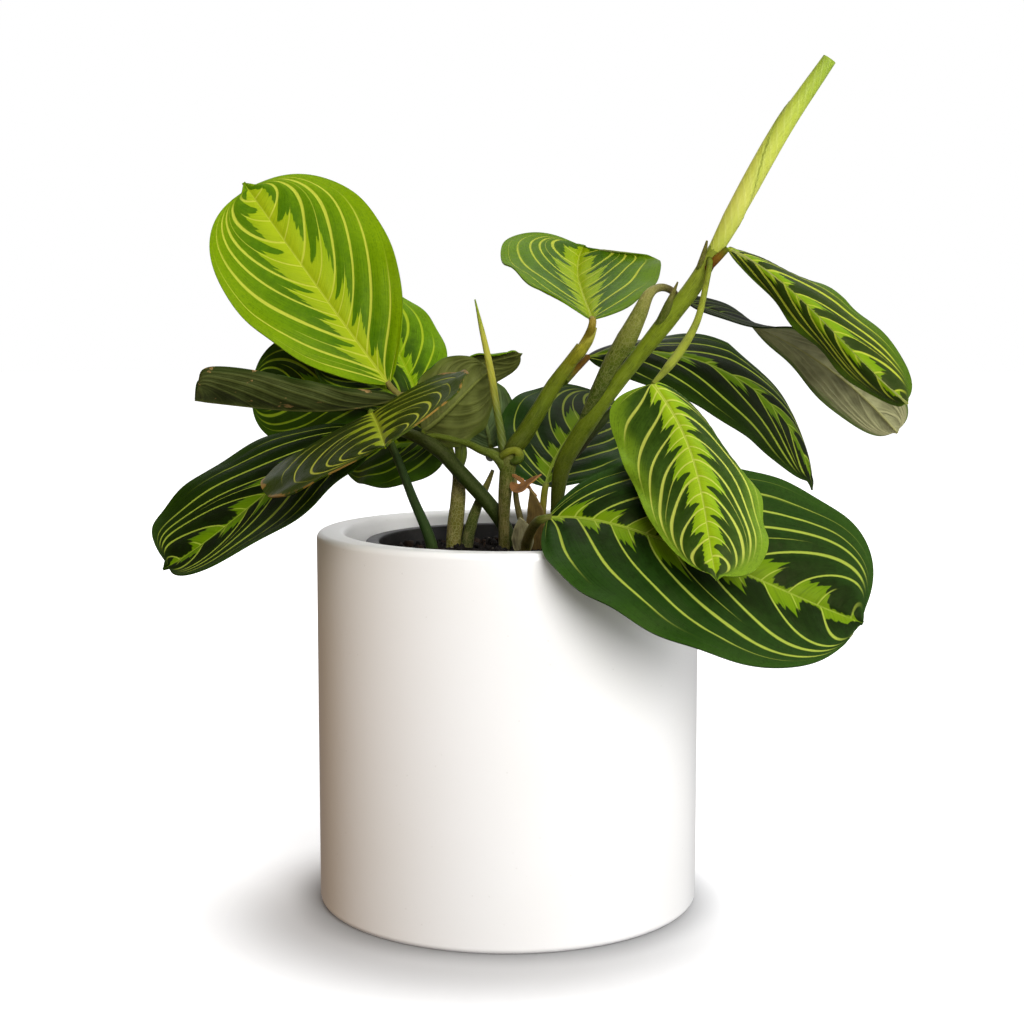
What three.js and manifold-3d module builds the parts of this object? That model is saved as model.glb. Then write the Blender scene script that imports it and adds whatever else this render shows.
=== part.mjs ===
// Potted prayer plant (Maranta) in a plain white ceramic planter, in millimetres, +Z up.
// The origin is the centre of the planter's underside, and the plant's front faces -Y.
import * as THREE from "three";
import { mergeVertices } from "three/addons/utils/BufferGeometryUtils.js";
import Module from "manifold-3d";

const wasm = await Module();
wasm.setup();

// Clearances between neighbouring pieces
const GAP = 0.3;
const LEAF_JOINT_GAP = 0.45;
const BENT_JOINT_GAP = 0.9;

// Planter
const PLANTER_RADIUS = 75;
const PLANTER_HEIGHT = 147;
const PLANTER_WALL = 11;
const PLANTER_FLOOR = 10;
const PLANTER_EDGE = 2.5;
const PLANTER_FACETS = 56;

// Nursery pot, which stands inside the planter
const INNER_LIP_RADIUS = 56;
const INNER_LIP_TOP = 143;
const INNER_LIP_HEIGHT = 4;
const INNER_MOUTH_RADIUS = 50.7;
const INNER_FOOT_RADIUS = 43;
const INNER_WALL = 1.2;
const INNER_FACETS = 40;
const DRAIN_RADIUS = 3.5;
const DRAIN_RING = 28;
const DRAINS = 6;

// Soil, slightly domed
const SOIL_EDGE = 136.5;
const SOIL_CROWN = 138.5;
const ROOT_DEPTH = 16;
const ROOT_HOLE_FACETS = 8;

// Leaf blades
const BLADE = 0.7;
const BLADE_ROWS = 12;
const HALF_COLUMNS = 4;
const TIP_SHARE = 0.03;
const TIP_WIDTH = 0.1;
const END_WIDTH = 0.02;
const CURL_FULL_WIDTH = 5;

// Stalks
const STALK_SIDES = 7;
const STEPS_PER_SPAN = 2;
const APPROACH = 3;

// One half of a blade, seen from above with the tip away. share: of the half width. fold: degrees that
// the half is raised from the rib. curl: further degrees at the margin, at base, middle and tip.
// sweep: how far the margin is drawn towards the tip. wave: millimetres, and waves along the margin.
const HALF = { share: 1, fold: 0, curl: [0, 0, 0], sweep: 0, wave: 1, waves: 3, phase: 0 };

// rib: four points a third of the way apart, from base to tip. face: the upper side's facing at base
// and tip. broad: where the blade is widest. blunt: lower is rounder.
const LEAVES = {
  leaf_tall: {
    rib: [[-48, 24, 203], [-67, 30, 228], [-87, 38, 255], [-109, 48, 285]],
    face: [[0.1, -0.93, 0.35], [0, -0.93, 0.35]],
    width: 71, broad: 0.66, blunt: 0.4, colour: 0x7fb02a,
    left: { share: 0.94, fold: 4, curl: [6, 6, 6] },
    right: { share: 1.04, fold: 4, curl: [40, 0, -25] },
  },
  leaf_tall_back: {
    rib: [[-38, 48, 198], [-44, 56, 211], [-52, 63, 226], [-63, 72, 243]],
    face: [[0.25, -0.9, 0.3], [0.3, -0.85, 0.4]],
    width: 41, broad: 0.48, blunt: 0.52, colour: 0x3f7a22,
    left: { fold: 5 },
    right: { fold: 5, curl: [-10, -10, -10], phase: 0.3 },
  },
  leaf_low_left: {
    rib: [[-57, 12, 186], [-77, -7, 176], [-103, -25, 155], [-130, -34, 136]],
    face: [[-0.1, -0.6, 0.8], [-0.35, -0.6, 0.7]],
    width: 66, broad: 0.58, blunt: 0.34, colour: 0x24481c,
    left: { share: 0.8, curl: [0, 0, 20] },
    right: { share: 1.08, fold: -3, curl: [-25, -5, 5], sweep: 0.2, phase: 0.4 },
  },
  leaf_scrolled: {
    rib: [[-44, 20, 198], [-71, 14, 193.5], [-97, 6, 195], [-124.5, -2, 198.5]],
    face: [[0, 0.25, 1], [0, 0.35, 0.9]],
    width: 37, broad: 0.86, blunt: 0.09, colour: 0x6b7466,
    left: { fold: 5, curl: [66, 66, 55], wave: 1.2 },
    right: { share: 0.85, fold: 5, curl: [200, 200, 200], wave: 0 },
  },
  leaf_front_left: {
    rib: [[-53, -4, 193], [-49, -36, 192], [-45, -70, 190], [-41.5, -98, 187]],
    face: [[-0.45, -0.1, 0.9], [-0.45, -0.15, 0.9]],
    width: 98, broad: 0.5, blunt: 0.52, colour: 0x2c5420,
    left: { share: 0.78, waves: 2 },
    right: { share: 0.98, curl: [-20, -20, -20], wave: 3, waves: 1 },
  },
  leaf_olive: {
    rib: [[-34, 12, 185], [-25, 15, 192], [-16, 19, 201], [-7, 23, 209]],
    face: [[-0.3, 0.9, 0.2], [-0.3, 0.9, 0.3]],
    width: 36, broad: 0.5, blunt: 0.52, colour: 0x59604a,
    left: { fold: 10 },
    right: { fold: 10, phase: 0.2 },
  },
  leaf_blue: {
    rib: [[-7, 46, 175.5], [-9, 50, 184.5], [-12, 54, 194], [-15, 59, 203]],
    face: [[0.1, 0.9, 0.3], [0.1, 0.9, 0.3]],
    width: 28, broad: 0.5, blunt: 0.52, colour: 0x5a7468,
    left: { fold: 5 },
    right: { fold: 5, phase: 0.6 },
  },
  leaf_level: {
    rib: [[-31, 47, 193], [-21, 48.5, 206], [-8, 48.5, 211.5], [6, 45, 215]],
    face: [[0, 1, 0.1], [0, 0.9, 0.4]],
    width: 34, broad: 0.52, blunt: 0.5, colour: 0x6f8f3a,
    left: { share: 0.65, fold: 0, curl: [10, 10, 10] },
    right: { share: 0.5, fold: 0, curl: [-60, -90, -100], phase: 0.5 },
  },
  leaf_left_back: {
    rib: [[-46, 33, 195], [-66, 39, 200], [-87, 46, 200], [-109, 50, 199]],
    face: [[0, -0.85, 0.5], [0, -0.9, 0.4]],
    width: 52, broad: 0.6, blunt: 0.4, colour: 0x24481c,
    left: { phase: 0.1 },
    right: { phase: 0.7 },
  },
  leaf_left_inner: {
    rib: [[-40, 31, 196], [-53, 32, 202], [-66, 34, 208], [-80, 36, 214]],
    face: [[0, -0.8, 0.6], [0, -0.9, 0.4]],
    width: 27, broad: 0.5, blunt: 0.52, colour: 0x27491f,
    left: { phase: 0.2 },
    right: { phase: 0.8 },
  },
  leaf_under: {
    rib: [[-25, 30, 181], [-41, 34, 179], [-56, 42, 177], [-71, 50, 173]],
    face: [[0, -0.8, 0.6], [0, -0.8, 0.6]],
    width: 46, broad: 0.42, blunt: 0.52, colour: 0x24481c,
    left: { phase: 0.5 },
    right: { share: 0.6 },
  },
  leaf_heart: {
    rib: [[33, 2, 229], [31, 24, 237], [29, 48, 248], [32, 62, 260]],
    face: [[-0.05, -0.4, 0.92], [0, -0.4, 0.92]],
    width: 66, broad: 0.66, blunt: 0.35, colour: 0x6fa32c,
    left: { share: 1, fold: 22, curl: [15, -10, -25], sweep: 0.17 },
    right: { share: 1.04, fold: 14, curl: [-10, -10, -10], sweep: -0.05, phase: 0.5 },
  },
  leaf_arched: {
    rib: [[32, 20, 214], [73, 36, 214], [110, 50, 194], [129, 54, 157]],
    face: [[0, -0.55, 0.85], [0.65, -0.6, 0.45]],
    width: 50, broad: 0.5, blunt: 0.52, colour: 0x24481c,
    left: { share: 0.85, fold: -5, curl: [-70, 0, -60] },
    right: { share: 0.92, fold: -10, curl: [-15, -15, -25], phase: 0.3 },
  },
  leaf_upper_right: {
    rib: [[83, -20, 256], [105, -26, 241.5], [126, -34, 220], [150, -38, 197]],
    face: [[0.2, -0.6, 0.8], [0.6, -0.75, 0.2]],
    width: 42, broad: 0.58, blunt: 0.45, colour: 0x3a6a24,
    left: { share: 0.9, curl: [-95, -20, 0], sweep: 0.12 },
    right: { share: 0.57, fold: -70, curl: [-40, -40, -40], sweep: 0.3 },
  },
  leaf_taupe: {
    rib: [[70, 4, 236], [98, 12, 227], [129, 20, 210], [160, 24, 181]],
    face: [[0, -0.5, 0.85], [0.35, 0.8, 0.3]],
    width: 36, broad: 0.62, blunt: 0.35, colour: 0x77756a,
    left: { phase: 0.4 },
    right: {},
  },
  leaf_hanging: {
    rib: [[52.5, -56, 206.5], [64, -74, 185], [68, -92, 164], [71, -104, 142]],
    face: [[0.1, -0.85, 0.5], [0.1, -0.9, 0.3]],
    width: 50, broad: 0.42, blunt: 0.4, colour: 0x3f8a2c,
    left: { share: 0.97, fold: 5, curl: [-120, -45, 0], sweep: 0.42, wave: 1.4 },
    right: { share: 0.98, fold: -20, curl: [-15, -15, -15], sweep: -0.5 },
  },
  leaf_big_right: {
    rib: [[15, -62, 158.5], [47, -73, 155], [88, -78, 139], [128, -76, 122]],
    face: [[0, -0.7, 0.7], [0.1, -0.85, 0.5]],
    width: 80, broad: 0.6, blunt: 0.4, colour: 0x24481c,
    left: { sweep: 0.25, waves: 4 },
    right: { share: 0.95, curl: [-5, -5, -5], sweep: -0.3, waves: 4, phase: 0.5 },
  },
  leaf_behind: {
    rib: [[15, 8, 163], [21, 28, 176], [31, 46, 187], [44, 66, 196]],
    face: [[0, -0.75, 0.65], [0, -0.75, 0.65]],
    width: 58, broad: 0.5, blunt: 0.52, colour: 0x24481c,
    left: { phase: 0.6 },
    right: { phase: 0.2 },
  },
  sheath_grey: {
    rib: [[6, -14, 139], [6, -15, 144], [5.5, -16, 149], [4.5, -16, 153.5]],
    face: [[0.2, -1, 0], [0, -1, 0.1]],
    width: 9, broad: 0.35, blunt: 0.8, colour: 0x8a8672,
    left: { curl: [-70, -60, -40], wave: 0.3 },
    right: { curl: [-70, -60, -40], wave: 0.3, phase: 0.4 },
  },
  sheath_brown: {
    rib: [[11, -6, 139], [11, -8, 148], [10.5, -9, 156], [8.5, -9, 164]],
    face: [[-0.4, -1, 0], [-0.2, -1, 0.2]],
    width: 8, broad: 0.35, blunt: 0.8, colour: 0x6b5432,
    left: { curl: [-60, -50, -30], wave: 0.3 },
    right: { curl: [-60, -50, -30], wave: 0.3, phase: 0.3 },
  },
  sheath_curled: {
    rib: [[1.4, -0.6, 165.5], [4.5, -4, 163.5], [8.5, -6.5, 166], [13, -9, 169.5]],
    face: [[-0.3, -0.8, 0.5], [-0.3, -0.4, 0.9]],
    width: 4.5, broad: 0.4, blunt: 0.8, colour: 0x9a5a34,
    left: { curl: [-60, 0, 60], wave: 0.2 },
    right: { curl: [-60, 0, 60], wave: 0.2, phase: 0.3 },
  },
};

// Each stem is a list of stalks grown together. A stalk has its points, its radius at equal steps along
// it, and the leaf whose base it reaches, which a stalk that is bentBack meets from its side. The first
// one stands in the soil at root.
const STEMS = {
  stem_left: {
    colour: 0x4f6b35,
    root: [-22, 14],
    stalks: [
      { points: [[-21, 14, 148], [-20, 15, 158], [-20, 17, 166], [-21, 19, 171]], radii: [2.7, 2.9, 3.3, 3, 1.8] },
      {
        points: [[-20.5, 17, 167], [-27, 24, 180], [-37, 26, 193]],
        radii: [1.8, 1.4, 1.2],
        leaf: "leaf_tall",
      },
      {
        points: [[-20.5, 17, 167], [-26, 27, 183], [-31, 36, 192]],
        radii: [1.8, 1.3, 1.1],
        leaf: "leaf_tall_back",
      },
      {
        points: [[-20.5, 17, 167], [-27, 26, 182], [-36, 31, 192]],
        radii: [1.8, 1.3, 1.1],
        leaf: "leaf_left_back",
      },
      {
        points: [[-20.5, 17, 167], [-27, 24, 181], [-33, 29, 191]],
        radii: [1.6, 1.2, 0.9],
        leaf: "leaf_left_inner",
      },
      {
        points: [[-20.5, 17, 167], [-27, 22, 179], [-35, 23, 192]],
        radii: [1.8, 1.3, 1.1],
        leaf: "leaf_scrolled",
      },
      {
        points: [[-20.5, 17, 167], [-18, 30, 176], [-24, 42, 186]],
        radii: [1.6, 1.2, 1],
        leaf: "leaf_level",
        bentBack: true,
      },
      { points: [[-20.5, 17, 166], [-20, 23, 174]], radii: [1.6, 1.2], leaf: "leaf_under" },
    ],
  },
  stem_low: {
    colour: 0x2f4a2c,
    root: [1, 9],
    stalks: [
      {
        points: [[-0.5, 8.5, 145], [-5.5, 8, 153.5], [-19.5, 7, 169.5], [-26.5, 6, 177], [-34, 5.5, 182], [-45, 10, 185.5]],
        radii: [3, 3, 3, 3, 2.9, 2, 1.3],
        leaf: "leaf_low_left",
      },
    ],
  },
  stalk_front_left: {
    colour: 0x35543a,
    root: [-30, 4],
    stalks: [
      {
        points: [[-38, 3, 160], [-45, 3, 178], [-51, 4, 190]],
        radii: [2.8, 2.3, 1.8, 1.5, 1.3],
        leaf: "leaf_front_left",
      },
    ],
  },
  stem_centre: {
    colour: 0x56692f,
    root: [-1.5, 1],
    stalks: [
      { points: [[-1.5, 1, 151], [-1, 2, 162], [0, 3, 171], [0.5, 3.5, 178]], radii: [2.3, 2.2, 2.2, 2.8, 3.6] },
      {
        points: [[0.5, 3.5, 173], [2, 4, 178], [6.5, 5, 184], [12, 5, 193], [18, 6, 203], [24.5, 6, 212], [29, 5, 218.5]],
        radii: [3, 3.7, 3.5, 3.2, 3.1, 2.7, 2.3],
      },
      {
        points: [[27, 5.5, 215], [30.5, 4, 220.5], [32.5, 0, 225.5]],
        radii: [2, 1.9, 1.6, 1.3],
        leaf: "leaf_heart",
      },
      {
        points: [[22, 6.5, 205], [27, 12.5, 209.5]],
        radii: [2, 1.5, 1.3],
        leaf: "leaf_arched",
        bentBack: true,
      },
      {
        points: [[0, 3, 168], [-4, 2.5, 175], [-11, 5, 178], [-16, 9, 180], [-23.5, 10, 182], [-29, 10, 183], [-33, 10, 183]],
        radii: [2, 2.2, 1.7, 1.4, 1.3, 1.2, 0.7],
        leaf: "leaf_olive",
        bentBack: true,
      },
      {
        points: [[-0.5, 5, 176], [-6, 16, 176.5], [-8, 30, 173], [-7, 40, 171.5]],
        radii: [2, 1.4, 1.2, 1.1, 1],
        leaf: "leaf_blue",
      },
    ],
  },
  stem_side: {
    colour: 0x2f4a2c,
    root: [-16.5, 13],
    stalks: [{ points: [[-14, 14, 149.5], [-11, 14.5, 157.5], [-8, 15, 164], [-6, 15, 169]], radii: [2.6, 2.6, 2.4, 1.8, 0.7] }],
  },
  stem_thin: {
    colour: 0x5d4f33,
    root: [7.5, 8.5],
    stalks: [{ points: [[5.5, 8.5, 148], [3.5, 8.5, 157], [2.5, 8.5, 168]], radii: [1.5, 1.4, 1.3, 0.9] }],
  },
  stem_right: {
    colour: 0x5b7a38,
    root: [18.5, -8],
    stalks: [
      {
        points: [
          [19, -8, 155], [20, -8, 166], [21.5, -8, 173], [25.5, -8.5, 181], [34, -10, 194],
          [42.5, -11, 205.5], [54, -12, 220], [63, -13, 231.5], [71, -14, 242], [79, -15, 256],
        ],
        radii: [2.2, 2.2, 2.4, 3.4, 3.6, 3.1, 3, 3.5, 3.4, 2.8],
      },
      {
        points: [
          [29, -10, 191], [35, -13, 203], [40, -15, 213], [45.5, -16.5, 222], [50, -16.5, 231],
          [54, -14, 239], [59, -8, 241.5], [64, -1, 240],
        ],
        radii: [1.5, 2.6, 3.2, 3.9, 2.9, 1.6, 1.4, 1.3],
        leaf: "leaf_taupe",
      },
      { points: [[22, -8, 173], [27, -7, 179], [34, -5, 187], [43, -2, 196]], radii: [2, 2.3, 2.2, 1.2] },
      {
        points: [[74, -15, 247], [78.5, -18, 251.5]],
        radii: [1.8, 1.6, 1.1],
        leaf: "leaf_upper_right",
        bentBack: true,
      },
      {
        points: [[76.5, -15.5, 252.5], [76.3, -20, 250.5], [74.5, -24, 242], [70.5, -33, 229], [64.5, -42, 219.5], [58.5, -50, 212.5]],
        radii: [1.2, 1.1, 1.2, 1.4, 1.7, 1.7, 0.8],
        leaf: "leaf_hanging",
        bentBack: true,
      },
      { points: [[73, -15, 247], [75.5, -17, 259]], radii: [2, 0.4] },
      { points: [[58, -13.5, 227], [61.5, -17, 236], [64.5, -18, 243.5]], radii: [2, 1.5, 0.3] },
    ],
  },
  stalk_big_right: {
    colour: 0x6a6a3c,
    root: [7, -23],
    stalks: [
      {
        points: [[7, -25, 143], [8.5, -36, 150], [10.5, -48, 155]],
        radii: [2.2, 2, 1.8, 1.5],
        leaf: "leaf_big_right",
      },
    ],
  },
  stalk_behind: {
    colour: 0x8a6a3a,
    root: [13, 2],
    stalks: [{ points: [[13.5, 2, 150]], radii: [1.8, 1.5, 1.3], leaf: "leaf_behind" }],
  },
};

// New leaves that are still rolled up, each a tapering tube
const ROLLED = {
  rolled_leaf: {
    colour: 0xb5cf5a,
    points: [[79.3, -15.05, 256.6], [88, -16, 273], [104, -18, 302], [120, -20, 326]],
    radii: [2.8, 3.7, 3.9, 3.8, 3.6, 3.2, 2.7],
  },
  spear_leaf: {
    colour: 0xa8b64a,
    points: [[-2.8, 8, 178.6], [-4.5, 12, 195], [-7, 12, 210], [-13, 11, 237]],
    radii: [1.7, 1.6, 1.5, 1.4, 1, 0.3],
  },
};

const plant = new THREE.Group();

function vector(point) {
  return new THREE.Vector3(...point);
}

function addMesh(name, geometry, colour, roughness = 0.5) {
  const material = new THREE.MeshStandardMaterial({ color: colour, roughness, metalness: 0 });
  const mesh = new THREE.Mesh(geometry, material);
  mesh.name = name;
  plant.add(mesh);
}

function toSolid(geometry) {
  const bare = new THREE.BufferGeometry().setAttribute("position", geometry.getAttribute("position"));
  bare.setIndex(geometry.index);
  const merged = mergeVertices(bare, 1e-3);
  return new wasm.Manifold(
    new wasm.Mesh({
      numProp: 3,
      vertProperties: merged.attributes.position.array,
      triVerts: new Uint32Array(merged.index.array),
    }),
  );
}

function fromSolid(solid) {
  const mesh = solid.getMesh();
  return new THREE.BufferGeometry()
    .setAttribute("position", new THREE.BufferAttribute(mesh.vertProperties, 3))
    .setIndex(new THREE.BufferAttribute(mesh.triVerts, 1));
}

function closedGeometry(points, faces) {
  return new THREE.BufferGeometry()
    .setAttribute("position", new THREE.Float32BufferAttribute(points.flatMap((p) => p.toArray()), 3))
    .setIndex(faces.flat());
}

// Quarter of a circle in a profile, from one angle to another
function corner(x, y, radius, from, to, steps = 3) {
  return Array.from({ length: steps + 1 }, (_, i) => {
    const angle = THREE.MathUtils.degToRad(from + ((to - from) * i) / steps);
    return new THREE.Vector2(x + radius * Math.cos(angle), y + radius * Math.sin(angle));
  });
}

function turned(profile, facets) {
  return new THREE.LatheGeometry(profile, facets).rotateX(Math.PI / 2);
}

function planter() {
  const inner = PLANTER_RADIUS - PLANTER_WALL;
  const edge = PLANTER_EDGE;
  return turned(
    [
      new THREE.Vector2(0, 0),
      ...corner(PLANTER_RADIUS - edge, edge, edge, -90, 0),
      ...corner(PLANTER_RADIUS - edge, PLANTER_HEIGHT - edge, edge, 0, 90),
      ...corner(inner + edge, PLANTER_HEIGHT - edge, edge, 90, 180),
      new THREE.Vector2(inner, PLANTER_FLOOR),
      new THREE.Vector2(0, PLANTER_FLOOR),
    ],
    PLANTER_FACETS,
  );
}

function post(x, y, bottom, top, radius, facets) {
  return toSolid(
    new THREE.CylinderGeometry(radius, radius, top - bottom, facets)
      .rotateX(Math.PI / 2)
      .translate(x, y, (top + bottom) / 2),
  );
}

function nurseryPot() {
  const foot = PLANTER_FLOOR + GAP;
  const outerMouth = INNER_MOUTH_RADIUS + INNER_WALL;
  const underLip = INNER_LIP_TOP - INNER_LIP_HEIGHT;
  let pot = toSolid(
    turned(
      [
        new THREE.Vector2(0, foot),
        new THREE.Vector2(INNER_FOOT_RADIUS, foot),
        new THREE.Vector2(outerMouth, underLip),
        new THREE.Vector2(INNER_LIP_RADIUS, underLip),
        ...corner(INNER_LIP_RADIUS - 1, INNER_LIP_TOP - 1, 1, 0, 90, 2),
        ...corner(INNER_MOUTH_RADIUS + 1, INNER_LIP_TOP - 1, 1, 90, 180, 2),
        new THREE.Vector2(INNER_FOOT_RADIUS - INNER_WALL, foot + INNER_WALL),
        new THREE.Vector2(0, foot + INNER_WALL),
      ],
      INNER_FACETS,
    ),
  );
  for (let i = 0; i < DRAINS; i++) {
    const angle = (i / DRAINS) * 2 * Math.PI;
    const x = DRAIN_RING * Math.cos(angle);
    const y = DRAIN_RING * Math.sin(angle);
    pot = pot.subtract(post(x, y, foot - 1, foot + INNER_WALL + 1, DRAIN_RADIUS, ROOT_HOLE_FACETS));
  }
  return fromSolid(pot);
}

function soil() {
  const bottom = PLANTER_FLOOR + INNER_WALL + 2 * GAP;
  const lean = (INNER_MOUTH_RADIUS - INNER_FOOT_RADIUS + INNER_WALL) / (INNER_LIP_TOP - PLANTER_FLOOR);
  const footRadius = INNER_FOOT_RADIUS - INNER_WALL - GAP;
  const edgeRadius = footRadius + lean * (SOIL_EDGE - bottom);
  const rise = SOIL_CROWN - SOIL_EDGE;
  let ground = toSolid(
    turned(
      [
        new THREE.Vector2(0, bottom),
        new THREE.Vector2(footRadius, bottom),
        new THREE.Vector2(edgeRadius, SOIL_EDGE),
        new THREE.Vector2(edgeRadius * 0.7, SOIL_EDGE + rise * 0.6),
        new THREE.Vector2(edgeRadius * 0.35, SOIL_EDGE + rise * 0.9),
        new THREE.Vector2(0, SOIL_CROWN),
      ],
      INNER_FACETS,
    ),
  );
  for (const stem of Object.values(STEMS)) {
    const [x, y] = stem.root;
    const radius = stem.stalks[0].radii[0] + GAP;
    const floor = SOIL_CROWN - ROOT_DEPTH - GAP;
    ground = ground.subtract(post(x, y, floor, SOIL_CROWN + 1, radius + GAP, ROOT_HOLE_FACETS));
  }
  return fromSolid(ground);
}

// The curve through the four points of a rib
function ribCurve(leaf) {
  const [base, near, far, tip] = leaf.rib.map(vector);
  const sum = (a, b, c, d) =>
    new THREE.Vector3()
      .addScaledVector(base, a)
      .addScaledVector(near, b)
      .addScaledVector(far, c)
      .addScaledVector(tip, d);
  return new THREE.CubicBezierCurve3(base, sum(-5 / 6, 3, -1.5, 1 / 3), sum(1 / 3, -1.5, 3, -5 / 6), tip);
}

function halfWidth(leaf, t) {
  const u = Math.min(t / (1 - TIP_SHARE), 1);
  const power = (leaf.blunt * leaf.broad) / (1 - leaf.broad);
  const round = (u / leaf.broad) ** power * ((1 - u) / (1 - leaf.broad)) ** leaf.blunt;
  const point = t > 0.9 ? TIP_WIDTH * Math.min(1, (1 - t) / TIP_SHARE) : 0;
  return (Math.max(round, point, END_WIDTH) * leaf.width) / 2;
}

// A value given at base, middle and tip
function along([base, middle, tip], t) {
  return t < 0.5 ? base + (middle - base) * 2 * t : middle + (tip - middle) * (2 * t - 1);
}

// One row of points across a blade, from the left margin to the right one
function bladeRow(leaf, rib, t) {
  const centre = rib.getPoint(t);
  const forward = rib.getTangent(t);
  const up = vector(leaf.face[0]).lerp(vector(leaf.face[1]), t);
  up.addScaledVector(forward, -up.dot(forward)).normalize();
  const right = forward.clone().cross(up);
  const row = [];
  for (let j = -HALF_COLUMNS; j <= HALF_COLUMNS; j++) {
    const side = j < 0 ? -1 : 1;
    const half = { ...HALF, ...(j < 0 ? leaf.left : leaf.right) };
    const reach = halfWidth(leaf, t) * half.share;
    const s = Math.abs(j) / HALF_COLUMNS;
    const fold = THREE.MathUtils.degToRad(half.fold);
    const curl = THREE.MathUtils.degToRad(along(half.curl, t)) * Math.min(1, reach / CURL_FULL_WIDTH) * s;
    const straight = Math.abs(curl) < 1e-6;
    let across = straight ? Math.cos(fold) : (Math.sin(fold + curl) - Math.sin(fold)) / curl;
    let lift = straight ? Math.sin(fold) : (Math.cos(fold) - Math.cos(fold + curl)) / curl;
    const ripple = half.wave * s * s * Math.sin(2 * Math.PI * (half.waves * t + half.phase)) * Math.sin(Math.PI * t);
    across = across * s * reach - ripple * Math.sin(fold + curl);
    lift = lift * s * reach + ripple * Math.cos(fold + curl);
    row.push(
      centre
        .clone()
        .addScaledVector(right, side * across)
        .addScaledVector(up, lift)
        .addScaledVector(forward, half.sweep * s * s * reach),
    );
  }
  return row;
}

// A closed sheet of even thickness on a grid of points, split alike on both faces
function sheet(grid, thickness) {
  const rows = grid.length;
  const columns = grid[0].length;
  const at = (i, j) => grid[THREE.MathUtils.clamp(i, 0, rows - 1)][THREE.MathUtils.clamp(j, 0, columns - 1)];
  const top = [];
  const bottom = [];
  for (let i = 0; i < rows; i++) {
    for (let j = 0; j < columns; j++) {
      const lengthwise = at(i + 1, j).clone().sub(at(i - 1, j));
      const normal = at(i, j + 1).clone().sub(at(i, j - 1)).cross(lengthwise).normalize();
      top.push(grid[i][j].clone().addScaledVector(normal, thickness / 2));
      bottom.push(grid[i][j].clone().addScaledVector(normal, -thickness / 2));
    }
  }
  const upper = (i, j) => i * columns + j;
  const lower = (i, j) => rows * columns + i * columns + j;
  const faces = [];
  const wall = (a, b) => {
    faces.push([upper(...a), upper(...b), lower(...b)]);
    faces.push([upper(...a), lower(...b), lower(...a)]);
  };
  for (let i = 0; i < rows - 1; i++) {
    for (let j = 0; j < columns - 1; j++) {
      faces.push([upper(i, j), upper(i, j + 1), upper(i + 1, j + 1)]);
      faces.push([upper(i, j), upper(i + 1, j + 1), upper(i + 1, j)]);
      faces.push([lower(i, j), lower(i + 1, j + 1), lower(i, j + 1)]);
      faces.push([lower(i, j), lower(i + 1, j), lower(i + 1, j + 1)]);
    }
    wall([i, 0], [i + 1, 0]);
    wall([i + 1, columns - 1], [i, columns - 1]);
  }
  for (let j = 0; j < columns - 1; j++) {
    wall([0, j + 1], [0, j]);
    wall([rows - 1, j], [rows - 1, j + 1]);
  }
  return closedGeometry([...top, ...bottom], faces);
}

function blade(leaf) {
  const rib = ribCurve(leaf);
  const grid = Array.from({ length: BLADE_ROWS + 1 }, (_, i) =>
    bladeRow(leaf, rib, (1 - Math.cos((Math.PI * i) / BLADE_ROWS)) / 2),
  );
  return sheet(grid, BLADE);
}

// A closed round stalk along a smooth curve, with its radius given at equal steps
function stalk(points, radii) {
  const curve = new THREE.CatmullRomCurve3(points);
  const steps = (points.length - 1) * STEPS_PER_SPAN;
  const frames = curve.computeFrenetFrames(steps, false);
  const rings = [];
  const faces = [];
  for (let i = 0; i <= steps; i++) {
    const centre = curve.getPointAt(i / steps);
    const place = (i / steps) * (radii.length - 1);
    const k = Math.min(Math.floor(place), radii.length - 2);
    const radius = THREE.MathUtils.lerp(radii[k], radii[k + 1], place - k);
    for (let j = 0; j < STALK_SIDES; j++) {
      const angle = (j / STALK_SIDES) * 2 * Math.PI;
      rings.push(
        centre
          .clone()
          .addScaledVector(frames.normals[i], radius * Math.cos(angle))
          .addScaledVector(frames.binormals[i], radius * Math.sin(angle)),
      );
    }
  }
  for (let j = 0; j < STALK_SIDES; j++) {
    const next = (j + 1) % STALK_SIDES;
    for (let i = 0; i < steps; i++) {
      const a = i * STALK_SIDES;
      const b = a + STALK_SIDES;
      faces.push([a + j, a + next, b + next]);
      faces.push([a + j, b + next, b + j]);
    }
    if (j > 0 && j < STALK_SIDES - 1) {
      const end = steps * STALK_SIDES;
      faces.push([0, j + 1, j]);
      faces.push([end, end + j, end + j + 1]);
    }
  }
  return closedGeometry(rings, faces);
}

// The points that bring a stalk to the base of its leaf, in line with the rib unless it bends back
function leafJoint(name, bentBack) {
  const rib = ribCurve(LEAVES[name]);
  const base = rib.getPoint(0);
  const forward = rib.getTangent(0);
  const backs = bentBack ? [BENT_JOINT_GAP] : [APPROACH, LEAF_JOINT_GAP];
  return backs.map((back) => base.clone().addScaledVector(forward, -back));
}

function stem({ root, stalks }) {
  const [x, y] = root;
  const rooted = [vector([x, y, SOIL_CROWN - ROOT_DEPTH]), vector([x, y, SOIL_CROWN])];
  const solids = stalks.map(({ points, radii, leaf, bentBack }, i) => {
    const start = i === 0 ? rooted : [];
    const end = leaf ? leafJoint(leaf, bentBack) : [];
    return toSolid(stalk([...start, ...points.map(vector), ...end], radii));
  });
  return fromSolid(solids.reduce((whole, next) => whole.add(next)));
}

addMesh("planter", planter(), 0xf2f0ec, 0.45);
addMesh("nursery_pot", nurseryPot(), 0x1b1b1c, 0.5);
addMesh("soil", soil(), 0x2b221b, 0.95);
for (const [name, data] of Object.entries(STEMS)) addMesh(name, stem(data), data.colour);
for (const [name, data] of Object.entries(ROLLED)) {
  addMesh(name, stalk(data.points.map(vector), data.radii), data.colour);
}
for (const [name, data] of Object.entries(LEAVES)) addMesh(name, blade(data), data.colour, 0.4);

export default plant;
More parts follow.
